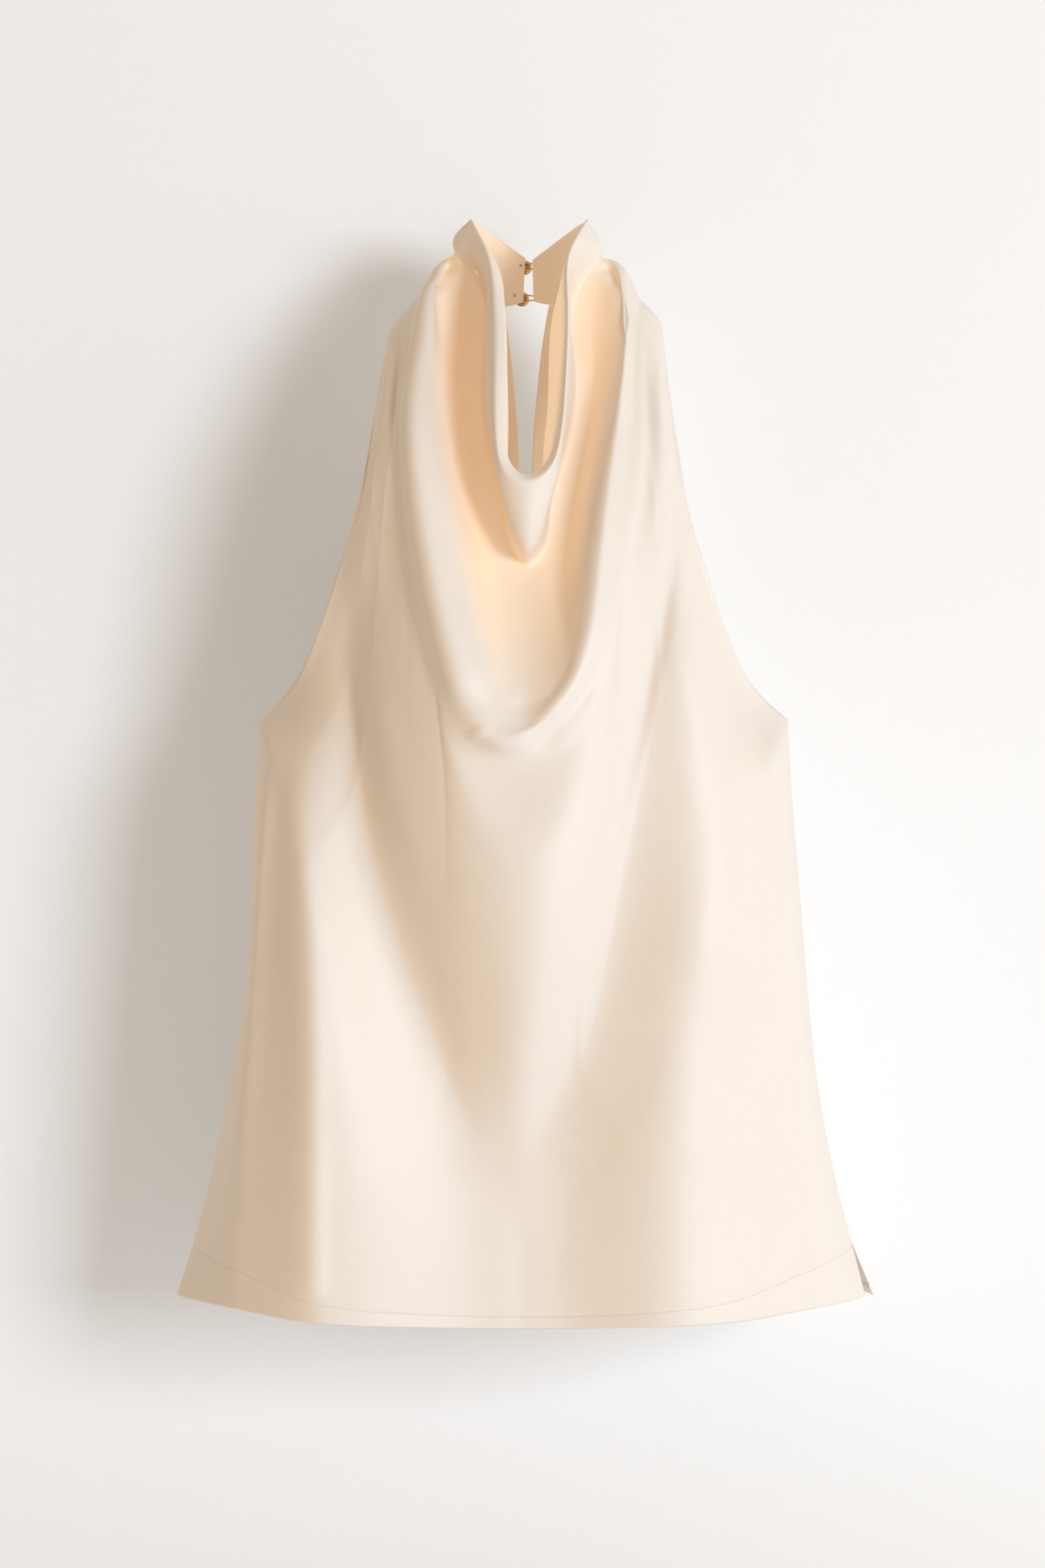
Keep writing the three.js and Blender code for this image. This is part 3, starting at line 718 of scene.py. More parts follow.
@dataclass
class Front:
    """The front with its cowl, from the facing inside the neckline down to the hem."""

    drop: tuple[float, ...] = (0.12, 0.3, 0.6, 0.85, 0.95, 1, 0.95, 0.85, 0.6, 0.3, 0.12)
    folds: tuple[Fold, ...] = (
        Fold("facing edge", 0, 0, -145, 1, 1,
             (-22, -14.8, -13.2, -11.6, -8.5, 0.4, 8.5, 10.4, 13.2, 14.8, 22),
             (-10, -20, -48, -60, -65, -68, -65, -60, -48, -20, -10)),
        Fold("facing middle", 1, 1, -136, 1, 1,
             (-17.5, -13.2, -11.2, -11.2, -9, 0.4, 10.5, 14, 18, 19.6, 24),
             (-17, -33, -61, -73, -77, -79, -77, -73, -61, -33, -17)),
        Fold("rim inside", 1.7, 1.7, -125.5, 1, 2,
             (-20.4, -13.2, -11.6, -12, -9.4, 0.4, 12, 17.6, 22, 23.6, 25),
             (-26, -47, -75, -87, -90, -91, -89, -85, -72, -44, -24)),
        Fold("rim crest", 2.1, 2.1, -129, 1, 2,
             (-23.8, -19.2, -18.4, -17.6, -13.2, 0.4, 14.4, 20.4, 24.2, 25.2, 26.8),
             (-30, -51, -79, -91, -95, -96, -95, -91, -79, -50, -28)),
        Fold("rim outside", 2.6, 2.6, -138, 1, 3,
             (-26, -23, -22.4, -19.6, -14, 0.4, 14.5, 20.6, 25.2, 26.2, 28),
             (-25, -45, -73, -87, -92, -95, -92, -87, -73, -45, -24)),
        Fold("tongue", 3.4, 3.4, -168, 1, 2,
             (-25.6, -23.4, -22.6, -12.2, -8, 0.8, 9.5, 13.4, 24, 26.6, 28.4),
             (-16, -37, -64, -81, -86, -88, -86, -81, -64, -38, -17)),
        Fold("first valley", 4.9, 4.9, -180, 1, 3,
             (-28, -25.5, -24.6, -13.2, -8.4, 0.8, 10.6, 14, 26, 29, 31),
             (-1, -12, -38, -56, -62, -65, -62, -56, -40, -15, -3)),
        Fold("valley floor", 5.3, 5.3, -196, 1, 3,
             (-38, -38, -33, -22, -14, 0.4, 14.5, 22, 34, 41, 42),
             (-4, -16, -42, -62, -69, -73, -69, -61, -43, -19, -6)),
        Fold("inner slope", 5.8, 5.8, -262, 1, 3,
             (-54.5, -55, -43, -29, -16, 0, 19, 29, 37.5, 52.5, 58),
             (-24, -50, -82, -102, -107, -110, -107, -101, -83, -50, -25)),
        Fold("second ridge", 6.3, 6.3, -284, 1, 2,
             (-62.5, -69, -59.5, -43.5, -32, -16, 14, 33, 46, 57, 61),
             (-30, -64, -96, -112, -116, -118, -115, -110, -96, -65, -30)),
        Fold("under the ridge", 8.5, 8.5, -298, 1, 5,
             (-74, -79, -70, -53, -41, -17, 26, 45, 58.5, 71, 71),
             (-30, -59, -88, -105, -109, -109, -108, -104, -92, -61, -31)),
        Fold("bag", 11.5, 11.5, -360, 1, 6,
             (-92, -88, -72, -48, -31, -5.6, 22, 40, 58, 79, 87),
             (-54, -74, -94, -107, -112, -114, -111, -105, -94, -76, -54)),
        Fold("long valley", 13.5, 12.7, -530, 1, 3,
             (-106, -99.5, -76.5, -47, -31, -8, 13, 32, 54, 80, 97),
             (-52, -62, -81, -95, -100, -103, -101, -97, -87, -68, -52)),
        Fold("below the valley", 16, 16, -568, 1, 4,
             (-147, -134, -104, -60, -34, -3.6, 33, 58, 98, 131, 144),
             (-57, -84, -100, -106, -108, -109, -108, -105, -97, -80, -54)),
        Fold("lower front", 18.6, 18.6, -608, 1.3, 4,
             (-170, -150, -128, -66, -33, -2.8, 30, 62, 118, 148, 167),
             (-36, -70, -99, -109, -112, -113, -112, -109, -97, -68, -36)),
        Fold("hem", 21, 21, -637, 2, 0,
             (-194, -166, -128, -66, -33, -1.6, 30, 62, 122, 162, 190),
             (-24, -58, -98, -110, -114, -115, -114, -110, -97, -60, -26)),
    )
    fine_down: int = 5
    fine_across: int = 16
    creases: tuple[Crease, ...] = FRONT_CREASES
    settled: tuple[float, float] = (10.3, 12.0)
    rolled: tuple[float, float] = (4.0, 60.0)
    relax: tuple[int, int] = (14, 26)
    armhole: tuple[float, float] = (10.2, 16.0)
    armhole_hem: float = 6.0

    def _reach(self) -> np.ndarray:
        """Mean length of cloth from the first fold to each fold, in millimetres."""
        reach = [0.0]
        for a, b in zip(self.folds, self.folds[1:]):
            gaps = [
                math.hypot(xb - xa, yb - ya, (b.low - a.low) * share)
                for xa, xb, ya, yb, share in zip(a.x, b.x, a.y, b.y, self.drop)
            ]
            reach.append(reach[-1] + sum(gaps) / len(gaps))
        return np.array(reach)

    def _rows(self, reach: np.ndarray) -> list[float]:
        """Places of the net's rows.

        Args:
            reach: Place of each fold.

        Returns:
            Rising places, closer together at the hem.
        """
        rows: list[float] = []
        for i, fold in enumerate(self.folds[:-1]):
            count = fold.steps * self.fine_down
            rows += [reach[i] + (reach[i + 1] - reach[i]) * j / count for j in range(count)]
        foot = reach[-1]
        rows = [t for t in rows if t < foot - HEM.rows[0] - 1]
        return rows + [foot - d for d in HEM.rows] + [foot]

    def _across(self, stations: np.ndarray, rolls: tuple[float, float]) -> np.ndarray:
        """A smooth row of the net through its stations.

        Args:
            stations: Places from the left edge to the right edge.
            rolls: How straight forward the cloth leaves each edge, from 0 to 1.

        Returns:
            The row's places.
        """
        lengths = np.linalg.norm(np.diff(stations, axis=0), axis=1)
        t = np.concatenate([[0], np.cumsum(lengths)])
        ends = []
        for way, roll, forward in (
            (stations[1] - stations[0], rolls[0], -1.0),
            (stations[-1] - stations[-2], rolls[1], 1.0),
        ):
            way = way / np.linalg.norm(way)
            way = way + (np.array([0, forward, 0]) - way) * roll
            ends.append(way / np.linalg.norm(way))
        curve = Curve(t, stations, Way.FREE, ends[0], ends[1])
        spans = [
            np.linspace(a, b, self.fine_across, endpoint=False) for a, b in zip(t, t[1:])
        ]
        return curve(np.concatenate([*spans, t[-1:]]))

    def net(self) -> tuple[np.ndarray, np.ndarray, np.ndarray, np.ndarray]:
        """The front's net.

        Returns:
            Places, which fold each row is on, place on the edge of each row, and the length
            from each row to the hem.
        """
        reach = self._reach()
        curves = {
            name: Curve(reach, [getattr(f, name) for f in self.folds])
            for name in ("left", "right", "low", "bow", "x", "y")
        }
        points, at = [], []
        rows = self._rows(reach)
        for t in rows:
            left, right, low, bow = (
                float(curves[k](t)) for k in ("left", "right", "low", "bow")
            )
            xs, ys = curves["x"](t), curves["y"](t)
            half = len(self.drop) // 2
            tops = [EDGE.value("lz", left)] * half + [0.0] + [EDGE.value("rz", right)] * half
            z = [
                top + (low - top) * (1 - (1 - share) ** bow) for share, top in zip(self.drop, tops)
            ]
            stations = np.vstack(
                [
                    EDGE.point(Side.LEFT, Panel.FRONT, left),
                    SIGHT.place(np.stack([xs, ys, z], axis=-1)),
                    EDGE.point(Side.RIGHT, Panel.FRONT, right),
                ]
            )
            rolls = (EDGE.value("roll", left), EDGE.value("roll", right))
            points.append(self._across(stations, rolls))
            at.append(left)
        fold = np.interp(rows, reach, np.arange(len(reach)))
        return np.array(points), fold, np.array(at), reach[-1] - np.array(rows)

    def cloth(self) -> Cloth:
        """The front with its creases, hem and armhole edges.

        Returns:
            The cloth, ready to be made a mesh.
        """
        points, fold, at, to_hem = self.net()
        uv = cloth_uv(points, points.shape[1] // 2)
        from_side = np.minimum(uv[..., 0] - uv[:, :1, 0], uv[:, -1:, 0] - uv[..., 0])
        seen = SIGHT.seen(points)
        row = np.broadcast_to(fold[:, None], from_side.shape)
        share = smooth(*self.settled, row) * smooth(*self.rolled, from_side)
        target = settle(SECTIONS, seen[..., 0], seen[..., 2])
        seen[..., 1] += (target - seen[..., 1]) * share
        beside = smooth(9.2, 10, row) * smooth(-235, -195, seen[..., 2])
        beside = beside * smooth(-72, -110, seen[..., 2])
        beside = beside * smooth(-57, -66, seen[..., 0]) * smooth(0, 3, from_side)
        target = settle(LEFT_FLANK, seen[..., 0], seen[..., 2])
        seen[..., 1] += (target - seen[..., 1]) * beside
        away = smooth(30, 42, seen[..., 0])
        eased = smooth(9.2, 10, row) + (smooth(7.8, 8.8, row) - smooth(9.2, 10, row)) * away
        eased = eased * (1 - smooth(12.5, 13.5, row)) * smooth(0, 8, from_side)
        seen[..., 1] += (relaxed(seen[..., 1], *self.relax) - seen[..., 1]) * eased
        points = SIGHT.place(seen)
        lift = np.zeros(from_side.shape)
        for crease in self.creases:
            lift += crease.relief(seen[..., 0], seen[..., 2], row)
        points = points + grid_normals(points) * (lift * smooth(0, 9, from_side))[..., None]
        normals = grid_normals(points)
        hem = np.broadcast_to(to_hem[:, None], from_side.shape)
        inner = HEM.inner(hem, HEM.depth)
        beside = (at >= self.armhole[0]) & (at <= self.armhole[1])
        edge = np.where(beside[:, None], HEM.inner(from_side, self.armhole_hem), 0)
        inner = np.maximum(inner, edge)
        outer = HEM.cloth - HEM.dip(hem)
        # Painted glow and painted warm shade on the facing inside the neckline, standing in for light that
        # comes through the cloth.
        facing = 1 - smooth(1.5, 2.4, row)
        # Painted shade in the cowl's cavity, which also gets the painted glow.
        deep = self._painted_cowl_shade(row, seen)
        # Painted shade on cloth that turns to the left, away from the key light.
        slope = smooth(0.22, -0.5, normals[..., 0]) * smooth(2.2, 3, row)
        warmth = np.clip(0.4 * facing + 0.8 * deep + 0.5 * slope, 0, 1)
        within = facing + deep
        return Cloth("satin_front", points, normals, outer, inner, uv, warmth, within)

    def _painted_cowl_shade(self, row: np.ndarray, seen: np.ndarray) -> np.ndarray:
        """How much painted shade the cloth gets deep in the cowl: more lower down and more on the left.

        Args:
            row: Which fold each place is on.
            seen: Places as seen from the front.

        Returns:
            Values from 0 outside the cowl.
        """
        deep = smooth(5.3, 6.2, row) * (1 - smooth(7.1, 8.5, row))
        low = smooth(20, -60, seen[..., 2])
        return deep * (0.25 + 0.15 * low + 0.35 * smooth(10, -30, seen[..., 0]))


BACK_CREASES = (
    Crease("left drape", ((-52, -70), (-74, -170), (-98, -300), (-112, -440), (-120, -612)),
           (24, 30), 5.0, (0.35, 0.08)),
    Crease("left hollow", ((-30, -90), (-44, -190), (-62, -320), (-72, -450), (-76, -612)),
           (20, 24), -4.2, (0.4, 0.1)),
    Crease("middle swell", ((-6, -215), (-14, -330), (-8, -460), (-12, -612)), (32, 26), 3.6,
           (0.4, 0.1)),
    Crease("right hollow", ((26, -110), (40, -220), (44, -350), (52, -480), (56, -612)),
           (18, 24), -4.8, (0.4, 0.1)),
    Crease("right drape", ((50, -80), (70, -185), (88, -310), (104, -450), (110, -612)),
           (26, 22), 5.4, (0.35, 0.08)),
    Crease("left edge hollow", ((-92, -170), (-116, -260), (-138, -380), (-150, -540)),
           (16, 18), -2.6, (0.4, 0.3)),
    Crease("right edge hollow", ((96, -190), (114, -280), (132, -400), (146, -560)), (14, 20),
           -3.0, (0.4, 0.3)),
    Crease("left neck pull", ((-26, -40), (-40, -86), (-62, -134)), (6, 9), -2.4, (0.3, 0.5)),
    Crease("left neck ridge", ((-34, -38), (-52, -82), (-76, -122)), (7, 8), 2.0, (0.3, 0.5)),
    Crease("right neck pull", ((30, -38), (46, -90), (62, -150)), (7, 8), -2.2, (0.3, 0.5)),
    Crease("right neck ridge", ((40, -36), (58, -76), (74, -116)), (6, 9), 1.7, (0.3, 0.5)),
    Crease("waist pull", ((-118, -300), (-60, -352), (4, -372)), (8, 12), -1.6, (0.4, 0.5)),
    Crease("low pull", ((128, -420), (80, -470), (30, -492)), (10, 12), -1.5, (0.4, 0.5)),
)


@dataclass(frozen=True)
class BackRow:
    """A cross row of the back: place on the edge, middle of the back, and how square it is."""

    name: str
    at: float
    z: float
    y: float
    square: float
    steps: int


@dataclass(frozen=True)
class BandStation:
    """A cut across the neckband: upper edge, lower edge and depth."""

    tx: float
    tz: float
    bx: float
    bz: float
    y: float


@dataclass
class Neckband:
    """One half of the neckband, from the front round to its end at the middle of the back."""

    side: Side
    stations: tuple[BandStation, ...]
    start_top: float = 2
    start_low: float = 5
    ease: float = 0.6
    rows: int = 24
    steps: int = 18

    def line(self, down: float) -> Callable[[np.ndarray], np.ndarray]:
        """The line round the neck at a share of the way down the band.

        Args:
            down: 0 at the upper edge, 1 at the lower edge.

        Returns:
            A function from stretches of the table to places.
        """
        at = self.start_top + (self.start_low - self.start_top) * down
        first = self.side.value[0]
        start = [
            EDGE.value(first + "x", at),
            EDGE.value("back", at) + EDGE.seam / 2 + self.ease,
            EDGE.value(first + "z", at),
        ]
        rest = [
            [s.tx + (s.bx - s.tx) * down, s.y, s.tz + (s.bz - s.tz) * down]
            for s in self.stations
        ]
        line = np.array([start, *rest])
        gaps = np.linalg.norm(np.diff(line, axis=0), axis=1)
        along = np.concatenate([[0], np.cumsum(gaps)])
        curve = Curve(along, line, Way.FREE)

        def at_stretch(stretch: np.ndarray) -> np.ndarray:
            """Places at stretches of the table."""
            return SIGHT.place(curve(np.interp(stretch, np.arange(len(along)), along)))

        return at_stretch

    def cloth(self) -> Cloth:
        """The band with its folded upper edge and its soft waves.

        Returns:
            The cloth, ready to be made a mesh.
        """
        shares = np.linspace(0, 1, self.rows + 1)
        stretch = np.linspace(0, len(self.stations), len(self.stations) * self.steps + 1)
        if self.side is Side.RIGHT:
            stretch = stretch[::-1]
        points = np.array([self.line(float(q))(stretch) for q in shares])
        normals = grid_normals(points)
        wave = 0.35 * np.sin(stretch * 2.3 + 1)[None, :] * np.sin(shares * math.pi)[:, None]
        fade = smooth(0, 0.5, stretch) * (1 - smooth(4.6, 5, stretch))
        points = points + normals * (wave * fade[None, :])[..., None]
        half = np.full(points.shape[:2], 0.55)
        half = half + 0.15 * np.exp(-((shares[:, None] - 0.02) / 0.05) ** 2)
        uv = cloth_uv(points, 0)
        name = f"satin_neckband_{self.side.value}"
        # Painted warm shade and painted glow, full on the band's inner face and weak on its outer face.
        tone = np.full(half.shape, 0.5)
        return Cloth(name, points, grid_normals(points), half, half, uv, tone, tone, (1.0, 0.15))


LEFT_BAND = Neckband(
    Side.LEFT,
    (
        BandStation(-35, 24, -43.5, -1, 12),
        BandStation(-33.5, 26, -39.5, -9.5, 32),
        BandStation(-24.5, 22.2, -28, -18, 48),
        BandStation(-12.8, 13.6, -13, -23.6, 56),
        BandStation(-0.8, 4.8, -2, -21, 58),
    ),
)
RIGHT_BAND = Neckband(
    Side.RIGHT,
    (
        BandStation(38.5, 24, 46, -1, 12),
        BandStation(36, 26, 42, -9, 32),
        BandStation(27, 20.8, 30, -17.5, 48),
        BandStation(15, 11.7, 14.4, -22.4, 56),
        BandStation(4.4, 3.6, 5, -20.6, 58),
    ),
)


@dataclass
class Back:
    """The back, from under the neckband to the hem, with the opening at its middle."""

    rows: tuple[BackRow, ...] = (
        BackRow("neck edge", 5.2, -23.8, 57, 2, 3),
        BackRow("shoulder", 8, -52, 66, 2, 3),
        BackRow("shoulder point", 10, -88, 76, 2, 4),
        BackRow("armhole top", 12, -140, 90, 1.6, 4),
        BackRow("slit end", 14, -205, 99, 1.3, 4),
        BackRow("underarm", 16, -274, 100, 2, 6),
        BackRow("waist", 18.5, -430, 97, 2, 6),
        BackRow("hem", 21, -609, 115, 2, 0),
    )
    slit: tuple[tuple[float, float], ...] = (
        (-23.8, 13.4), (-48, 10.2), (-67, 8), (-103, 4.8), (-140, 3.2), (-205, 0.12),
    )
    closed: float = 0.12
    fine_down: int = 6
    columns: int = 84
    open_from: int = 4
    neck_seam: float = 0.9
    creases: tuple[Crease, ...] = BACK_CREASES
    armhole: tuple[float, float] = (10.2, 16.0)
    armhole_hem: float = 6.0

    def _places(self) -> list[float]:
        """Places of the net's rows, counted in table rows, closer together at the hem."""
        rows: list[float] = []
        for i, row in enumerate(self.rows[:-1]):
            count = row.steps * self.fine_down
            rows += [i + j / count for j in range(count)]
        last = self.rows[-1].z - self.rows[-2].z
        foot = len(self.rows) - 1
        dense = [foot + d / last for d in HEM.rows]
        return [s for s in rows if s < dense[0] - 0.005] + dense + [foot]

    def half(self, side: Side) -> tuple[np.ndarray, np.ndarray, np.ndarray]:
        """The net of one half, from the side to the middle.

        Args:
            side: Which half.

        Returns:
            Places, place on the edge of each row, and the height above the hem.
        """
        count = range(len(self.rows))
        at = Curve(count, [r.at for r in self.rows])
        z_mid = Curve(count, [r.z for r in self.rows])
        y_mid = Curve(count, [r.y for r in self.rows], Way.FREE)
        square = Curve(count, [r.square for r in self.rows])
        depth = [-z for z, _ in self.slit]
        gap = Curve(depth, [half for _, half in self.slit])
        band = LEFT_BAND if side is Side.LEFT else RIGHT_BAND
        neck = band.line(1.0)
        share = np.arange(self.columns + 1) / self.columns
        places = self._places()
        points, edge = [], []
        for s in places:
            z = float(z_mid(s))
            opened = float(gap(-z)) if -z < depth[-1] else self.closed
            hang = EDGE.point(side, Panel.BACK, float(at(s)))
            middle = SIGHT.place(np.array([0, float(y_mid(s)), z]))
            inner = math.asin(min(max(opened, self.closed) / abs(hang[0] - middle[0]), 1))
            r = np.sin(inner + (math.pi / 2 - inner) * (1 - share))
            bulge = np.maximum(1 - r * r, 0) ** (1 / float(square(s)))
            row = np.stack(
                [
                    middle[0] + (hang[0] - middle[0]) * r,
                    hang[1] + (middle[1] - hang[1]) * bulge,
                    middle[2] + (hang[2] - middle[2]) * r * r,
                ],
                axis=-1,
            )
            if s < 1:
                under = neck(self.open_from * share)
                under[:, 2] -= self.neck_seam
                row = under + (row - under) * s
            points.append(row)
            edge.append(float(at(s)))
        foot = z_mid(np.array(places)) - self.rows[-1].z
        return np.array(points), np.array(edge), foot

    def cloth(self) -> Cloth:
        """The back with its creases, hem, opening and armhole edges.

        Returns:
            The cloth, ready to be made a mesh.
        """
        left, at, foot = self.half(Side.LEFT)
        right = self.half(Side.RIGHT)[0][:, ::-1]
        points = np.concatenate([left, right], axis=1)
        uv = cloth_uv(points, self.columns)
        from_side = np.minimum(uv[..., 0] - uv[:, :1, 0], uv[:, -1:, 0] - uv[..., 0])
        seen = SIGHT.seen(points)
        lift = np.zeros(from_side.shape)
        for crease in self.creases:
            lift += crease.relief(seen[..., 0], seen[..., 2], np.full(lift.shape, 50.0))
        lift = lift * smooth(0, 12, from_side) * smooth(0, 30, points[:1, :, 2] - points[..., 2])
        points = points - grid_normals(points) * lift[..., None]
        normals = -grid_normals(points)
        hem = np.broadcast_to(foot[:, None], from_side.shape)
        inner = HEM.inner(hem, HEM.depth)
        beside = (at >= self.armhole[0]) & (at <= self.armhole[1])
        edge = np.where(beside[:, None], HEM.inner(from_side, self.armhole_hem), 0)
        inner = np.maximum(inner, edge)
        # Painted glow near the neck opening, where the back's inner face shows through the neckline.
        within = 0.6 * smooth(-260, -120, seen[..., 2]) * smooth(52, 26, np.abs(seen[..., 0]))
        opened = np.zeros((points.shape[0] - 1, points.shape[1] - 1), bool)
        opened[:, self.columns] = seen[1:, self.columns, 2] > self.slit[-1][0]
        # Painted warm shade over the whole back and more near the opening, with the painted glow, both
        # mostly on the inner face.
        return Cloth(
            "satin_back", points, normals, HEM.cloth - HEM.dip(hem), inner, uv,
            0.2 + within, within, (0.15, 1.0), turned=True, opened=opened,
        )


@dataclass
class Stitches:
    """A row of short stitches that lie half sunk in the cloth."""

    name: str
    pitch: float = HEM.pitch
    length: float = 1.75
    width: float = 0.2
    height: float = 0.16
    sink: float = 0.02
    rings: int = 5
    sides: int = 6

    def one(self) -> tuple[np.ndarray, list[list[int]]]:
        """One stitch, made from a sphere drawn out along its thread.

        Returns:
            Its points and its faces.
        """
        clear_selection()
        bpy.ops.mesh.primitive_uv_sphere_add(
            segments=self.sides, ring_count=self.rings, radius=1.0, location=(0, 0, 0)
        )
        model = bpy.context.object
        bpy.ops.object.mode_set(mode="EDIT")
        bpy.ops.mesh.select_all(action="SELECT")
        bpy.ops.transform.resize(value=(self.width, self.height, self.length / 2))
        bpy.ops.object.mode_set(mode="OBJECT")
        points = np.array([v.co[:] for v in model.data.vertices])
        points[:, :2] *= 1 - 0.35 * (np.abs(points[:, 2:]) / (self.length / 2)) ** 3
        faces = [list(f.vertices) for f in model.data.polygons]
        data = model.data
        bpy.data.objects.remove(model)
        bpy.data.meshes.remove(data)
        return points[:, (2, 0, 1)], faces

    def along(
        self, lines: Sequence[tuple[np.ndarray, np.ndarray]], start: float = 1.2
    ) -> bpy.types.Object:
        """Copies of the stitch along lines on the cloth.

        Args:
            lines: Points and outward directions of each line, in millimetres.
            start: Length left free at both ends.

        Returns:
            All the stitches as one piece.
        """
        model, model_faces = self.one()
        verts: list[np.ndarray] = []
        faces: list[list[int]] = []
        for path, out in lines:
            gaps = np.linalg.norm(np.diff(path, axis=0), axis=1)
            run = np.concatenate([[0], np.cumsum(gaps)])
            places = np.arange(start, run[-1] - start, self.pitch)
            centres = np.stack([np.interp(places, run, path[:, k]) for k in range(3)], axis=-1)
            ahead = np.stack(
                [np.interp(places + 0.4, run, path[:, k]) for k in range(3)], axis=-1
            )
            up = np.stack([np.interp(places, run, out[:, k]) for k in range(3)], axis=-1)
            for centre, tip, lift in zip(centres, ahead, up):
                way = tip - centre
                way /= np.linalg.norm(way)
                lift = lift - way * float(lift @ way)
                lift /= np.linalg.norm(lift)
                base = sum(len(v) for v in verts[-1:]) and verts_count(verts)
                basis = np.stack([way, np.cross(lift, way), lift])
                verts.append(centre + lift * self.sink + model @ basis)
                faces += [[k + base for k in face] for face in model_faces]
        mesh = bpy.data.meshes.new(self.name)
        mesh.from_pydata((np.concatenate(verts) * MM).tolist(), [], faces)
        mesh.update()
        mesh.shade_smooth()
        piece = bpy.data.objects.new(self.name, mesh)
        bpy.context.collection.objects.link(piece)
        return piece


def verts_count(parts: Sequence[np.ndarray]) -> int:
    """Number of points in several blocks of equal size."""
    return len(parts) * len(parts[0])


def clear_selection() -> None:
    """Deselects every object."""
    bpy.ops.object.select_all(action="DESELECT")
    bpy.context.view_layer.objects.active = None


def hem_line(cloth: Cloth, to_edge: np.ndarray, inside: bool) -> tuple[np.ndarray, np.ndarray]:
    """The stitch line along a hem.

    Args:
        cloth: The hemmed cloth.
        to_edge: Distance of each row from the hem's edge.
        inside: Whether the line is on the inner face.

    Returns:
        Points and outward directions, in millimetres.
    """
    row = int(np.argmin(np.abs(to_edge - HEM.stitch_line)))
    way = -1.0 if inside else 1.0
    thick = (cloth.inner if inside else cloth.outer)[row]
    out = cloth.normals[row] * way
    return cloth.points[row] + out * thick[:, None], out


@dataclass
class Fastening:
    """A ball button on the left band end and the double loop that goes round it."""

    name: str
    x: float
    z: float
    radius: float = 4.6
    shank: float = 1.15
    base: float = 58.9
    height: float = 5.9
    tilt: float = 0.22
    loop_half: float = 1.7
    loop_reach: float = 13.0
    loop_y: float = 59.5
    ply: float = 0.32
    twist: float = 1.9

    def button(self) -> bpy.types.Object:
        """The ball with its shank.

        Returns:
            The new piece.
        """
        clear_selection()
        bpy.ops.mesh.primitive_uv_sphere_add(
            segments=48, ring_count=32, radius=self.radius * MM, location=(0, 0, 0)
        )
        piece = bpy.context.object
        piece.name = piece.data.name = f"ball_button_{self.name}"
        bpy.ops.object.mode_set(mode="EDIT")
        bpy.ops.mesh.select_all(action="DESELECT")
        net = bmesh.from_edit_mesh(piece.data)
        low = -self.radius * MM * math.cos(math.asin(self.shank / self.radius) * 0.8)
        for face in net.faces:
            face.select = face.calc_center_median().z < low
        net.select_flush(True)
        bmesh.update_edit_mesh(piece.data)
        reach = (self.height - self.radius) * MM
        bpy.ops.mesh.extrude_region_move(TRANSFORM_OT_translate={"value": (0, 0, -reach)})
        bpy.ops.mesh.inset(thickness=0.15 * MM)
        bpy.ops.mesh.select_all(action="SELECT")
        bpy.ops.mesh.normals_make_consistent(inside=False)
        bpy.ops.object.mode_set(mode="OBJECT")
        at = SIGHT.place(np.array([self.x, self.base, self.z])) * MM
        way = Vector((math.sin(self.tilt), math.cos(self.tilt), 0))
        turn = Vector((0, 0, 1)).rotation_difference(way).to_matrix().to_4x4()
        piece.data.transform(turn)
        centre = Vector(at) + way * self.height * MM
        for vertex in piece.data.vertices:
            vertex.co += centre
        bpy.ops.object.shade_smooth_by_angle(angle=math.radians(40))
        return piece

    def loop(self) -> bpy.types.Object:
        """The loop of twisted thread, from the right band end round the button's shank.

        Returns:
            The new piece.
        """
        at = SIGHT.place(np.array([self.x, self.loop_y, self.z]))
        w, reach = self.loop_half, self.loop_reach
        route = at + np.array(
            [
                [reach, 0, w * 0.8],
                [reach / 2, 0.2, w * 0.95],
                [0, 0, w],
                [-w, 0, 0],
                [0, 0, -w],
                [reach / 2, 0.25, -w * 0.85],
                [reach, 0, -w * 0.7],
            ]
        )
        gaps = np.linalg.norm(np.diff(route, axis=0), axis=1)
        run = np.concatenate([[0], np.cumsum(gaps)])
        path = Curve(run, route, Way.FREE)(np.linspace(0, run[-1], 150))
        way = np.gradient(path, axis=0)
        way /= np.linalg.norm(way, axis=1, keepdims=True)
        side = np.cross(way, [0, 1.0, 0])
        side /= np.linalg.norm(side, axis=1, keepdims=True)
        up = np.cross(side, way)
        turn = np.linspace(0, run[-1] / self.twist * 2 * math.pi, len(path))
        verts: list[np.ndarray] = []
        faces: list[list[int]] = []
        ring = np.arange(8) / 8 * 2 * math.pi
        for start in (0, math.pi):
            axis = np.cos(turn + start)[:, None] * side + np.sin(turn + start)[:, None] * up
            middle = path + axis * self.ply * 0.62
            tube = (
                middle[:, None]
                + np.cos(ring)[None, :, None] * side[:, None] * self.ply
                + np.sin(ring)[None, :, None] * up[:, None] * self.ply
            )
            base = sum(len(v) for v in verts)
            verts.append(tube.reshape(-1, 3))
            for i in range(len(path) - 1):
                for k in range(8):
                    a, b = base + i * 8 + k, base + i * 8 + (k + 1) % 8
                    faces.append([a, b, b + 8, a + 8])
            faces.append([base + k for k in range(7, -1, -1)])
            faces.append([base + (len(path) - 1) * 8 + k for k in range(8)])
        mesh = bpy.data.meshes.new(f"thread_loop_{self.name}")
        mesh.from_pydata((np.concatenate(verts) * MM).tolist(), [], faces)
        mesh.update()
        net = bmesh.new()
        net.from_mesh(mesh)
        bmesh.ops.recalc_face_normals(net, faces=net.faces)
        net.to_mesh(mesh)
        net.free()
        mesh.shade_smooth()
        piece = bpy.data.objects.new(mesh.name, mesh)
        bpy.context.collection.objects.link(piece)
        return piece


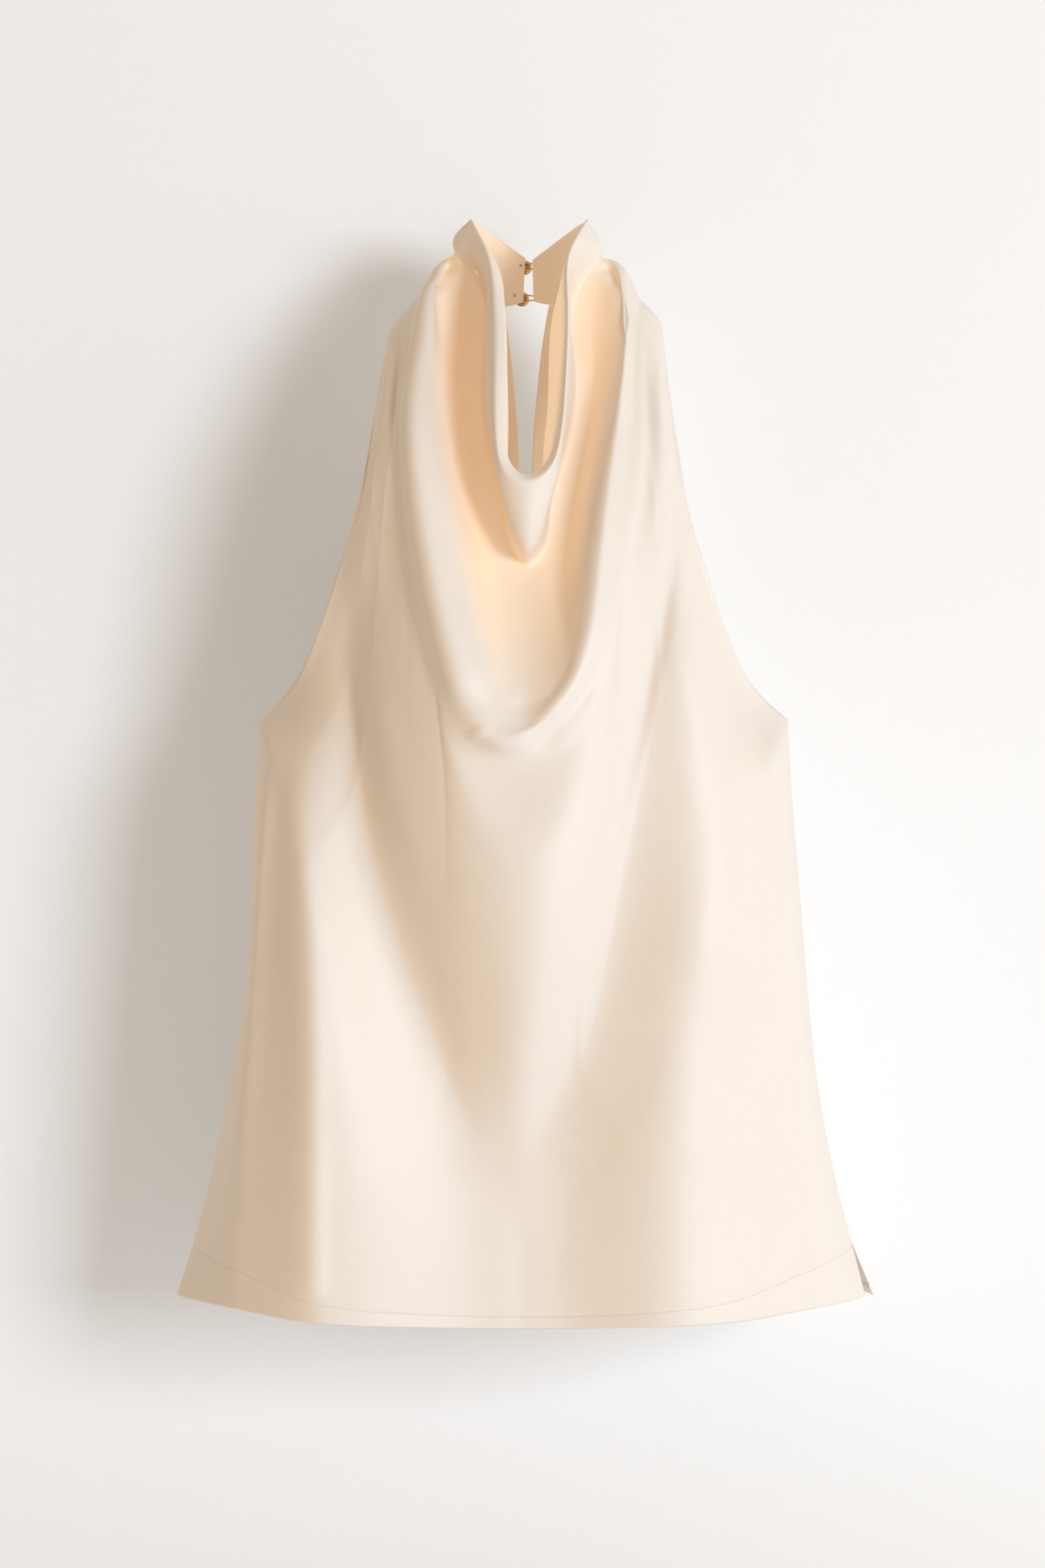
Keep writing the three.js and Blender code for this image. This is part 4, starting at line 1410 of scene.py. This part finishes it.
class Socket:
    """A node's output that takes part in Python sums, each adding a Math node."""

    def __init__(self, nodes: "Nodes", output: bpy.types.NodeSocket) -> None:
        """Wraps an output.

        Args:
            nodes: The material's node builder.
            output: The output to wrap.
        """
        self.nodes = nodes
        self.output = output

    def _math(self, operation: str, first: object, second: object) -> "Socket":
        """A Math node on two values."""
        return self.nodes.add("ShaderNodeMath", {"operation": operation}, {0: first, 1: second})

    def __add__(self, other: object) -> "Socket":
        """Sum."""
        return self._math("ADD", self, other)

    def __radd__(self, other: object) -> "Socket":
        """Sum with the number first."""
        return self._math("ADD", other, self)

    def __sub__(self, other: object) -> "Socket":
        """Difference."""
        return self._math("SUBTRACT", self, other)

    def __rsub__(self, other: object) -> "Socket":
        """Difference with the number first."""
        return self._math("SUBTRACT", other, self)

    def __mul__(self, other: object) -> "Socket":
        """Product."""
        return self._math("MULTIPLY", self, other)

    def __rmul__(self, other: object) -> "Socket":
        """Product with the number first."""
        return self._math("MULTIPLY", other, self)

    def sine(self) -> "Socket":
        """Sine of the value."""
        return self.nodes.add("ShaderNodeMath", {"operation": "SINE"}, {0: self})


class Nodes:
    """Builds one material's nodes."""

    def __init__(self, name: str) -> None:
        """Starts an empty material.

        Args:
            name: The finish's name.
        """
        self.material = bpy.data.materials.new(name)
        self.material.use_nodes = True
        self.tree = self.material.node_tree
        self.tree.nodes.clear()

    def add(
        self, kind: str, settings: dict | None = None, inputs: dict | None = None, out: int | str = 0
    ) -> Socket:
        """Adds a node.

        Args:
            kind: The node's type.
            settings: Its settings, set first.
            inputs: Values or links for its inputs, by number or name.
            out: Which output to give back.

        Returns:
            The wrapped output.
        """
        node = self.tree.nodes.new(kind)
        for name, value in (settings or {}).items():
            if name == "stops":
                ramp = node.color_ramp
                while len(ramp.elements) < len(value):
                    ramp.elements.new(0.5)
                for element, (place, colour) in zip(ramp.elements, value):
                    element.position, element.color = place, (*colour, 1)
            else:
                setattr(node, name, value)
        for name, value in (inputs or {}).items():
            if isinstance(value, Socket):
                self.tree.links.new(value.output, node.inputs[name])
            else:
                node.inputs[name].default_value = value
        return Socket(self, node.outputs[out])

    def blend(self, share: Socket | float, first: object, second: object, mode: str = "MIX") -> Socket:
        """Mixes two colours.

        Args:
            share: Share of the second colour.
            first: First colour, as a value or a link.
            second: Second colour.
            mode: How they are blended.

        Returns:
            The mixed colour.
        """
        settings = {"data_type": "RGBA", "blend_type": mode}
        return self.add("ShaderNodeMix", settings, {0: share, 6: first, 7: second}, out=2)

    def noise(self, vector: Socket, size: float, detail: float = 2.0) -> Socket:
        """Noise whose grain has a size in metres.

        Args:
            vector: Where it is read.
            size: Size of the grain.
            detail: How many finer layers it has.

        Returns:
            Values round one half.
        """
        inputs = {"Vector": vector, "Scale": 1 / size, "Detail": detail, "Roughness": 0.55}
        return self.add("ShaderNodeTexNoise", {}, inputs)

    def finish(self, shader: Socket) -> bpy.types.Material:
        """Ends the material with its shader."""
        self.add_output(shader)
        return self.material

    def add_output(self, shader: Socket) -> None:
        """Links the shader to the material's output."""
        node = self.tree.nodes.new("ShaderNodeOutputMaterial")
        self.tree.links.new(shader.output, node.inputs["Surface"])


@dataclass(frozen=True)
class Satin:
    """Cream satin: a fine slanting weave, a soft sheen, painted warm shade in the folds and a painted glow
    where light would pass through.
    """

    name: str = "cream_satin"
    pale: Colour = (0.875, 0.82, 0.755)
    # deep is the colour of the painted shade, through the colour of the painted glow.
    deep: Colour = (0.97, 0.715, 0.46)
    through: Colour = (1.0, 0.74, 0.48)
    roughness: float = 0.5
    thread: float = 0.00042
    grain: float = 0.0011
    slub: float = 0.006

    def make(self) -> bpy.types.Material:
        """Builds the material.

        Returns:
            The satin.
        """
        nodes = Nodes(self.name)
        cloth = nodes.add("ShaderNodeUVMap", {"uv_map": "cloth"})
        warmth = nodes.add("ShaderNodeAttribute", {"attribute_name": "warmth"}, out="Fac")
        within = nodes.add("ShaderNodeAttribute", {"attribute_name": "within"}, out="Fac")
        parts = nodes.add("ShaderNodeSeparateXYZ", {}, {0: cloth})
        across = parts
        down = Socket(nodes, parts.output.node.outputs[1])
        turn = 2 * math.pi / self.thread
        warp = (across * turn + (down * (turn * 0.5))).sine()
        weft = (down * turn - (across * (turn * 0.12))).sine()
        weave = warp * 0.65 + weft * 0.35
        grain = nodes.noise(cloth, self.grain, 3)
        slub = nodes.noise(cloth, self.slub, 2)
        cloud = nodes.noise(cloth, 0.05, 2)
        # Base colour runs from the satin's own pale colour to the painted shade colour.
        tone = nodes.blend(warmth, (*self.pale, 1), (*self.deep, 1))
        shade = 0.965 + grain * 0.03 + slub * 0.02 + cloud * 0.02
        grey = nodes.add("ShaderNodeCombineColor", {}, {0: shade, 1: shade, 2: shade})
        colour = nodes.blend(1.0, tone, grey, "MULTIPLY")
        # Painted glow: an emission standing in for light that passes through the cloth.
        glow = nodes.blend(within, (0, 0, 0, 1), (*self.through, 1))
        gloss = self.roughness - 0.06 + grain * 0.08 + slub * 0.04
        height = weave * 0.25 + grain * 1.4 + slub * 0.8
        bump = nodes.add(
            "ShaderNodeBump", {}, {"Height": height, "Strength": 0.5, "Distance": 0.00004}
        )
        shader = nodes.add(
            "ShaderNodeBsdfPrincipled",
            {},
            {
                "Base Color": colour,
                "Roughness": gloss,
                "Normal": bump,
                "Sheen Weight": 0.12,
                "Sheen Roughness": 0.4,
                "Sheen Tint": (1.0, 0.95, 0.88, 1),
                "Specular IOR Level": 0.8,
                "Emission Color": glow,
                "Emission Strength": 0.24,
            },
        )
        return nodes.finish(shader)


@dataclass(frozen=True)
class Gold:
    """Polished gold-coloured metal with fine wear."""

    name: str = "polished_gold"
    metal: Colour = (0.72, 0.36, 0.12)
    worn: Colour = (0.42, 0.17, 0.05)
    roughness: float = 0.13

    def make(self) -> bpy.types.Material:
        """Builds the material.

        Returns:
            The metal.
        """
        nodes = Nodes(self.name)
        place = nodes.add("ShaderNodeTexCoord", {}, out="Object")
        fine = nodes.noise(place, 0.0004, 4)
        cloud = nodes.noise(place, 0.003, 2)
        colour = nodes.blend(cloud * 0.6, (*self.metal, 1), (*self.worn, 1))
        gloss = self.roughness - 0.03 + fine * 0.08
        bump = nodes.add(
            "ShaderNodeBump", {}, {"Height": fine, "Strength": 0.2, "Distance": 0.00002}
        )
        inputs = {"Base Color": colour, "Metallic": 1.0, "Roughness": gloss, "Normal": bump}
        return nodes.finish(nodes.add("ShaderNodeBsdfPrincipled", {}, inputs))


@dataclass(frozen=True)
class Thread:
    """Cream sewing thread with a fibrous surface."""

    name: str = "cream_thread"
    pale: Colour = (0.82, 0.72, 0.58)
    dark: Colour = (0.6, 0.47, 0.33)

    def make(self) -> bpy.types.Material:
        """Builds the material.

        Returns:
            The thread.
        """
        nodes = Nodes(self.name)
        place = nodes.add("ShaderNodeTexCoord", {}, out="Object")
        fibre = nodes.noise(place, 0.00025, 4)
        colour = nodes.blend(fibre, (*self.dark, 1), (*self.pale, 1))
        bump = nodes.add(
            "ShaderNodeBump", {}, {"Height": fibre, "Strength": 0.6, "Distance": 0.00005}
        )
        inputs = {
            "Base Color": colour, "Roughness": 0.55 + fibre * 0.2, "Normal": bump,
            "Sheen Weight": 0.3,
        }
        return nodes.finish(nodes.add("ShaderNodeBsdfPrincipled", {}, inputs))


@dataclass(frozen=True)
class Paper:
    """Plain pale studio paper, seen from its front only."""

    name: str = "studio_paper"
    colour: Colour = (0.88, 0.905, 0.93)
    glow: float = 0.1

    def make(self) -> bpy.types.Material:
        """Builds the material.

        Returns:
            The paper.
        """
        nodes = Nodes(self.name)
        paper = nodes.add(
            "ShaderNodeBsdfPrincipled", {},
            {
                "Base Color": (*self.colour, 1),
                "Roughness": 0.9,
                "Specular IOR Level": 0.1,
                "Emission Color": (1, 1, 1, 1),
                "Emission Strength": self.glow,
            },
        )
        clear = nodes.add("ShaderNodeBsdfTransparent", {}, {0: (1, 1, 1, 1)})
        behind = nodes.add("ShaderNodeNewGeometry", {}, out="Backfacing")
        return nodes.finish(nodes.add("ShaderNodeMixShader", {}, {0: behind, 1: paper, 2: clear}))


@dataclass
class Studio:
    """Backdrop, lights and camera."""

    wall_y: float = 0.106
    floor_z: float = -0.92
    half_width: float = 2.4
    height: float = 3.0
    depth: float = 4.5
    bend: float = 0.25
    camera_at: tuple[float, float, float] = (-0.002, -2.625, -0.3106)
    lens: float = 99.45

    def backdrop(self) -> bpy.types.Object:
        """A wall that bends into the floor.

        Returns:
            The backdrop.
        """
        clear_selection()
        bpy.ops.mesh.primitive_plane_add(size=1, location=(0, 0, 0))
        paper = bpy.context.object
        paper.name = paper.data.name = "studio_paper"
        angles = np.linspace(0, math.pi / 2, 14)
        profile = [(-self.depth, self.floor_z)]
        profile += [
            (self.wall_y - self.bend + self.bend * math.sin(a),
             self.floor_z + self.bend - self.bend * math.cos(a))
            for a in angles
        ]
        profile.append((self.wall_y, self.height))
        w = self.half_width
        verts = [(x, y, z) for y, z in profile for x in (-w, w)]
        faces = [(2 * i, 2 * i + 1, 2 * i + 3, 2 * i + 2) for i in range(len(profile) - 1)]
        paper.data.clear_geometry()
        paper.data.from_pydata(verts, [], faces)
        paper.data.update()
        paper.data.shade_smooth()
        paper.data.materials.append(Paper().make())
        return paper

    def light(
        self, name: str, at: Colour, aim: Colour, size: float, power: float, tint: Colour
    ) -> None:
        """Adds a soft square light.

        Args:
            name: The light's name.
            at: Where it stands.
            aim: Where it points.
            size: Side of the square.
            power: Its power in watts.
            tint: Its colour.
        """
        data = bpy.data.lights.new(name, "AREA")
        data.size, data.energy, data.color = size, power, tint
        lamp = bpy.data.objects.new(name, data)
        lamp.location = at
        lamp.rotation_euler = (Vector(aim) - Vector(at)).to_track_quat("-Z", "Y").to_euler()
        bpy.context.collection.objects.link(lamp)

    def world(self, strength: float, tint: Colour) -> None:
        """Plain surroundings.

        Args:
            strength: How bright they are.
            tint: Their colour.
        """
        world = bpy.data.worlds.new("studio")
        world.use_nodes = True
        tree = world.node_tree
        ground, pale = tree.nodes["Background"], tree.nodes.new("ShaderNodeBackground")
        ground.inputs[0].default_value = (*tint, 1)
        ground.inputs[1].default_value = strength
        pale.inputs[0].default_value = (0.86, 0.86, 0.86, 1)
        seen = tree.nodes.new("ShaderNodeLightPath").outputs["Is Camera Ray"]
        mix = tree.nodes.new("ShaderNodeMixShader")
        for number, source in enumerate((seen, ground.outputs[0], pale.outputs[0])):
            tree.links.new(source, mix.inputs[number])
        tree.links.new(mix.outputs[0], tree.nodes["World Output"].inputs["Surface"])
        bpy.context.scene.world = world

    def camera(self) -> None:
        """Adds the camera at the photograph's angle."""
        data = bpy.data.cameras.new("camera")
        data.lens, data.sensor_width = self.lens, 36
        data.clip_start, data.clip_end = 0.1, 20
        camera = bpy.data.objects.new("camera", data)
        camera.location = self.camera_at
        camera.rotation_euler = (math.pi / 2, 0, 0)
        bpy.context.collection.objects.link(camera)
        bpy.context.scene.camera = camera

    def build(self) -> None:
        """Sets up the whole studio."""
        self.camera()
        self.backdrop()
        self.world(0.4, (1.0, 0.79, 0.57))
        self.light("key", (3.0, -4.77, 0.25), (0, 0, -0.3), 1.7, 150, (0.96, 1.0, 1.06))
        self.light("side", (4.2, -1.5, 0.3), (0, 0, -0.3), 2.0, 15, (0.98, 1.0, 1.04))
        bpy.context.scene.view_settings.view_transform = "Standard"


def dress(piece: bpy.types.Object, finish: bpy.types.Material, slot: str, *nodes: str) -> None:
    """Gives a piece its finish and its body, and hides the solids that it stands for.

    Args:
        piece: The piece.
        finish: Its material.
        slot: Not used.
        nodes: Names of the solids.
    """
    piece.data.materials.clear()
    piece.data.materials.append(finish)
    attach(piece, "root")
    if nodes:
        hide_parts(*nodes)
    log.info("%s: %d faces", piece.name, len(piece.data.polygons))


def sewing_marks(cloth: Cloth, centres: Sequence[tuple[float, float]]) -> list[tuple]:
    """Short rows of thread on the inner face of a band, where its buttons are sewn on.

    Args:
        cloth: The band's cloth.
        centres: Middle of each mark, across and up, as seen from the front.

    Returns:
        Points and inward directions of each row, in millimetres.
    """
    seen = SIGHT.seen(cloth.points)
    rows = []
    for x, z in centres:
        far = np.hypot(seen[..., 0] - x, seen[..., 2] - z)
        i, j = np.unravel_index(int(np.argmin(far)), far.shape)
        out = cloth.normals[i, j]
        if out[1] > 0:
            out = -out
        at = cloth.points[i, j] + out * (cloth.inner[i, j] + 0.12)
        along = np.cross(out, (0.0, 0.0, 1.0))
        for step in (-0.75, -0.25, 0.25, 0.75):
            middle = at + np.array((0.0, 0.0, 1.0)) * step
            rows.append((np.array([middle - along, middle + along]), np.array([out, out])))
    return rows


def declare(piece: bpy.types.Object, cloth: Cloth, flat: tuple[float, float]) -> None:
    """Logs the area of a piece's cloth beside the area of its flat cut.

    Args:
        piece: The piece.
        cloth: Its cloth.
        flat: Width and length of the cut, in metres.
    """
    area = cloth.area()
    log.info("%s: %.4f square metres of %.4f", piece.name, area, flat[0] * flat[1])


def main() -> None:
    """Builds the top, piece by piece, and the studio."""
    logging.basicConfig(level=logging.INFO, format="%(message)s")
    Studio().build()
    satin, gold, thread = Satin().make(), Gold().make(), Thread().make()

    front = Front()
    front_cloth = front.cloth()
    front_piece = front_cloth.build()
    dress(front_piece, satin, "satin", "front")
    to_edge = front.net()[3]
    front_seam = Stitches("hem_stitches_front").along(
        [hem_line(front_cloth, to_edge, inside) for inside in (False, True)]
    )
    dress(front_seam, thread, "loop")

    back = Back()
    back_cloth = back.cloth()
    back_piece = back_cloth.build()
    dress(back_piece, satin, "satin", "back")
    foot = back.half(Side.LEFT)[2]
    back_seam = Stitches("hem_stitches_back").along(
        [hem_line(back_cloth, foot, inside) for inside in (False, True)]
    )
    dress(back_seam, thread, "loop")
    declare(front_piece, front_cloth, (0.56, 0.78))
    declare(back_piece, back_cloth, (0.52, 0.70))

    for band in (LEFT_BAND, RIGHT_BAND):
        cloth = band.cloth()
        piece = cloth.build()
        dress(piece, satin, "satin", f"neckband_{band.side.value}")
        trim = []
        if band.side is Side.LEFT:
            marks = Stitches("button_stitches", pitch=5.0, length=2.1, width=0.26, height=0.2)
            trim.append(marks.along(sewing_marks(cloth, ((-3.4, 0.3), (-7.0, -17.6))), start=0.9))
            dress(trim[0], thread, "loop")
        declare(piece, cloth, (0.095, 0.043))

    for name, x, z in (("upper", -2, 0), ("lower", -3.6, -19)):
        fastening = Fastening(name, x, z)
        dress(fastening.button(), gold, "button", f"button_{name}")
        dress(fastening.loop(), thread, "loop", f"loop_{name}")


if __name__ == "__main__":
    main()
